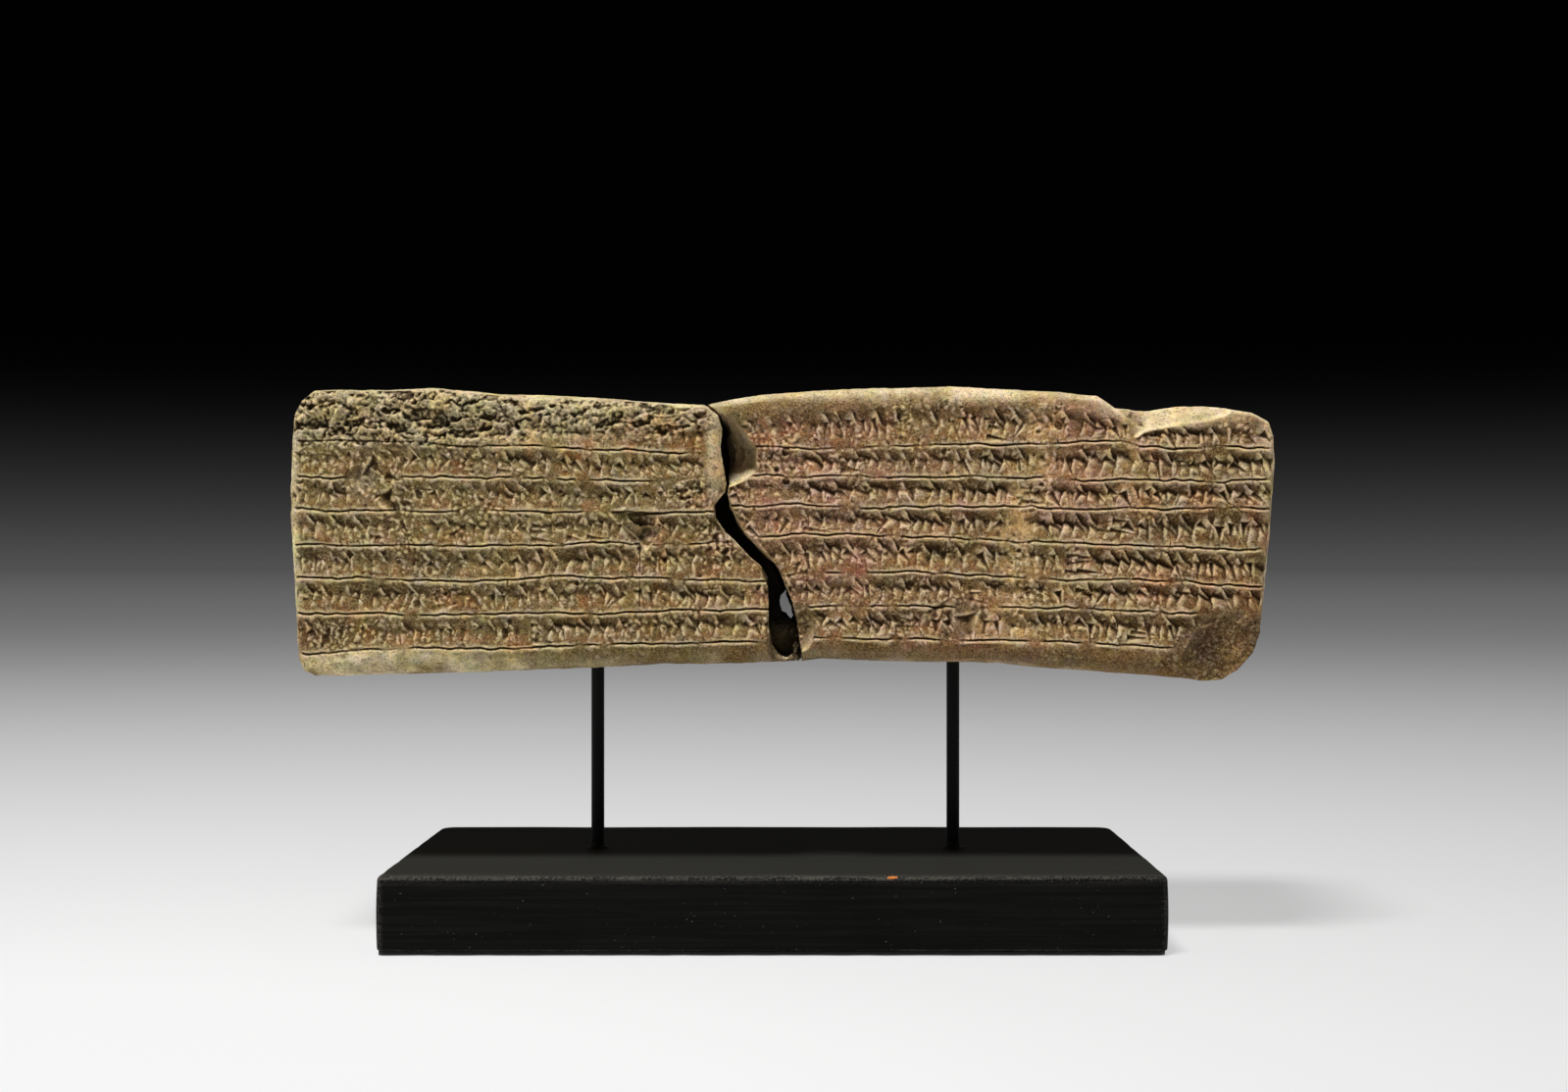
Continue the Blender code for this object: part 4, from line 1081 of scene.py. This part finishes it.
def paint_finish():
    """Matt black paint brushed over wood, worn grey along the edges with a painted highlight along the top
    front edge, painted lighter on top, and specked with dust.
    """
    paint = Finish("black_paint", Specular_IOR_Level=0.06)
    streaks = paint.noise(1.0, 3, 0.6, paint.stretched(14, 700, 700))
    blotches = paint.noise(30 * MM, 3)
    grain = paint.noise(0.8 * MM, 2)
    tone = paint.mix(streaks.between(0.35, 0.7), colour(10, 10, 9), colour(19, 19, 17))
    # Worn grey edges, with the painted highlight along the top front edge.
    rubbed_and_highlit = paint.painted("rubbed_and_highlit") * (0.4 * streaks + 0.6 * grain).between(0.42, 0.60)
    specks = paint.noise(0.9 * MM, 1).between(0.74, 0.78)
    bare = (paint.near(BARE_WOOD, (2.4 * MM, 1.2 * MM, 1.2 * MM)) + 0.8 * grain - 0.4).between(0.1, 0.3)
    tone = paint.cover(
        tone,
        (blotches.between(0.5, 0.7) * 0.4, (7, 7, 6)),
        # the top: dust and painted light from above
        (paint.painted("dust_and_top_light") * (0.5 + 0.4 * streaks), (46, 46, 42)),
        (rubbed_and_highlit * 0.7, (96, 92, 84)),
        (specks * 0.5, (130, 128, 120)),
        (bare, (196, 118, 58)))
    paint.feed(Base_Color=tone, Roughness=0.50 + 0.25 * streaks,
               Normal=paint.bump(streaks * 0.7 + grain * 0.3, 0.2 * MM, 0.35))
    return paint.material


def steel_finish():
    """Satin black on steel, slightly uneven."""
    steel = Finish("satin_black_steel", Specular_IOR_Level=0.12)
    runs = steel.noise(1.0, 2, 0.5, steel.stretched(500, 500, 40))
    grain = steel.noise(0.6 * MM, 2)
    tone = steel.mix(runs.between(0.35, 0.7), colour(6, 6, 5), colour(13, 13, 12))
    steel.feed(Base_Color=tone, Roughness=0.34 + 0.22 * grain, Normal=steel.bump(grain, 0.1 * MM, 0.3))
    return steel.material


def felt_finish():
    """Thin dark felt: matted fibres."""
    felt = Finish("dark_felt", Roughness=0.95, Sheen_Weight=0.25)
    fibres = felt.noise(0.35 * MM, 3, 0.7, distortion=1.5)
    fluff = felt.noise(2.5 * MM, 2)
    tone = felt.mix((fibres * 0.7 + fluff * 0.3).between(0.4, 0.65), colour(10, 10, 10), colour(36, 35, 33))
    felt.feed(Base_Color=tone, Normal=felt.bump(fibres, 0.3 * MM, 0.9))
    return felt.material


def floor_finish():
    """A pale floor lit from within, which fades into the dark with the distance."""
    floor = Finish("pale_floor", Roughness=0.8, Specular_IOR_Level=0.1, Emission_Strength=1.0)
    haze = floor.noise(0.4, 2)
    away = floor.vector("DISTANCE", floor.place, GLOW_MIDDLE, output="Value")
    near_glow = ((away - 0.27) * -1.15).math("MINIMUM", 0.0).math("EXPONENT") * 0.37
    far_glow = (away * -0.083).math("EXPONENT") * 0.09
    broad_glow = (away * away * -0.18).math("EXPONENT") * 0.13
    glow = near_glow + far_glow + broad_glow + 0.063
    floor.feed(Base_Color=floor.mix(haze, colour(129, 129, 129), colour(132, 132, 132)),
               Emission_Color=floor.mix(glow, (0.0, 0.0, 0.0, 1.0), (1.0, 1.0, 1.0, 1.0)))
    return floor.material


# The stage

def make_floor():
    bm = bmesh.new()
    place = Matrix.Translation((0, 0, -FLOOR_DROP))
    bmesh.ops.create_grid(bm, x_segments=1, y_segments=1, size=FLOOR_REACH, matrix=place)
    make_object("floor", mesh_from(bm, "floor"), floor_finish())


def make_light(name, place, width, height, power):
    light = bpy.data.lights.new(name, "AREA")
    light.shape = "RECTANGLE"
    light.size, light.size_y = width, height
    light.energy = power
    item = bpy.data.objects.new(name, light)
    item.location = place
    item.rotation_euler = (Vector(LIT_MIDDLE) - Vector(place)).to_track_quat("-Z", "Y").to_euler()
    bpy.context.scene.collection.objects.link(item)


def light_stage():
    """A large soft light overhead and to the front, a weak one at the left, and a pale room.

    The camera sees the room dark, with a glow low down that meets the floor's.
    """
    make_light("overhead", *OVERHEAD_LIGHT)
    make_light("left_side", *LEFT_LIGHT)
    world = bpy.data.worlds.new("room")
    world.use_nodes = True
    room = Tree(world.node_tree)
    ahead = room.add("ShaderNodeTexCoord", output="Generated")
    height = room.add("ShaderNodeSeparateXYZ", sockets={"Vector": ahead}, output="Z")
    lowness = room.add("ShaderNodeMapRange",
                       sockets={"Value": height, "From Max": 0.10, "To Min": 1, "To Max": 0})
    seen = lowness ** 3 * HORIZON_GLOW + DARK_GLOW
    by_camera = room.add("ShaderNodeLightPath", output="Is Camera Ray")
    strength = room.add("ShaderNodeMix", sockets={0: by_camera, 2: ROOM_LIGHT, 3: seen})
    background = room.tree.nodes["Background"]
    room.join(strength, background.inputs["Strength"])
    background.inputs["Color"].default_value = (1, 1, 1, 1)
    bpy.context.scene.world = world


def make_camera():
    """A level camera in front of the brick, shifted to the photograph's frame."""
    data = bpy.data.cameras.new("camera")
    data.sensor_width = 36
    data.lens = data.sensor_width * FOCAL_LENGTH / PHOTO_WIDTH
    data.shift_x = (PHOTO_WIDTH / 2 - STRAIGHT_AHEAD[0]) / PHOTO_WIDTH
    data.shift_y = (STRAIGHT_AHEAD[1] - PHOTO_HEIGHT / 2) / PHOTO_WIDTH
    data.clip_start, data.clip_end = 0.05, 50
    camera = bpy.data.objects.new("camera", data)
    camera.location = CAMERA_PLACE
    camera.rotation_euler = (math.pi / 2, 0, 0)
    bpy.context.scene.collection.objects.link(camera)
    bpy.context.scene.camera = camera


def main():
    left, right = open_up("brick_left"), open_up("brick_right")
    front = look_from_front((left, right))
    relief = face_relief(front[1])
    clay = clay_finish()
    make_fragment("left_fragment", "brick_left", left, front, relief, clay)
    make_fragment("right_fragment", "brick_right", right, front, relief, clay)
    make_block(paint_finish())
    make_felt(felt_finish())
    steel = steel_finish()
    make_rod("left_rod", "rod_left", steel)
    make_rod("right_rod", "rod_right", steel)
    make_floor()
    light_stage()
    make_camera()
    bpy.context.scene.view_settings.view_transform = "Standard"


main()
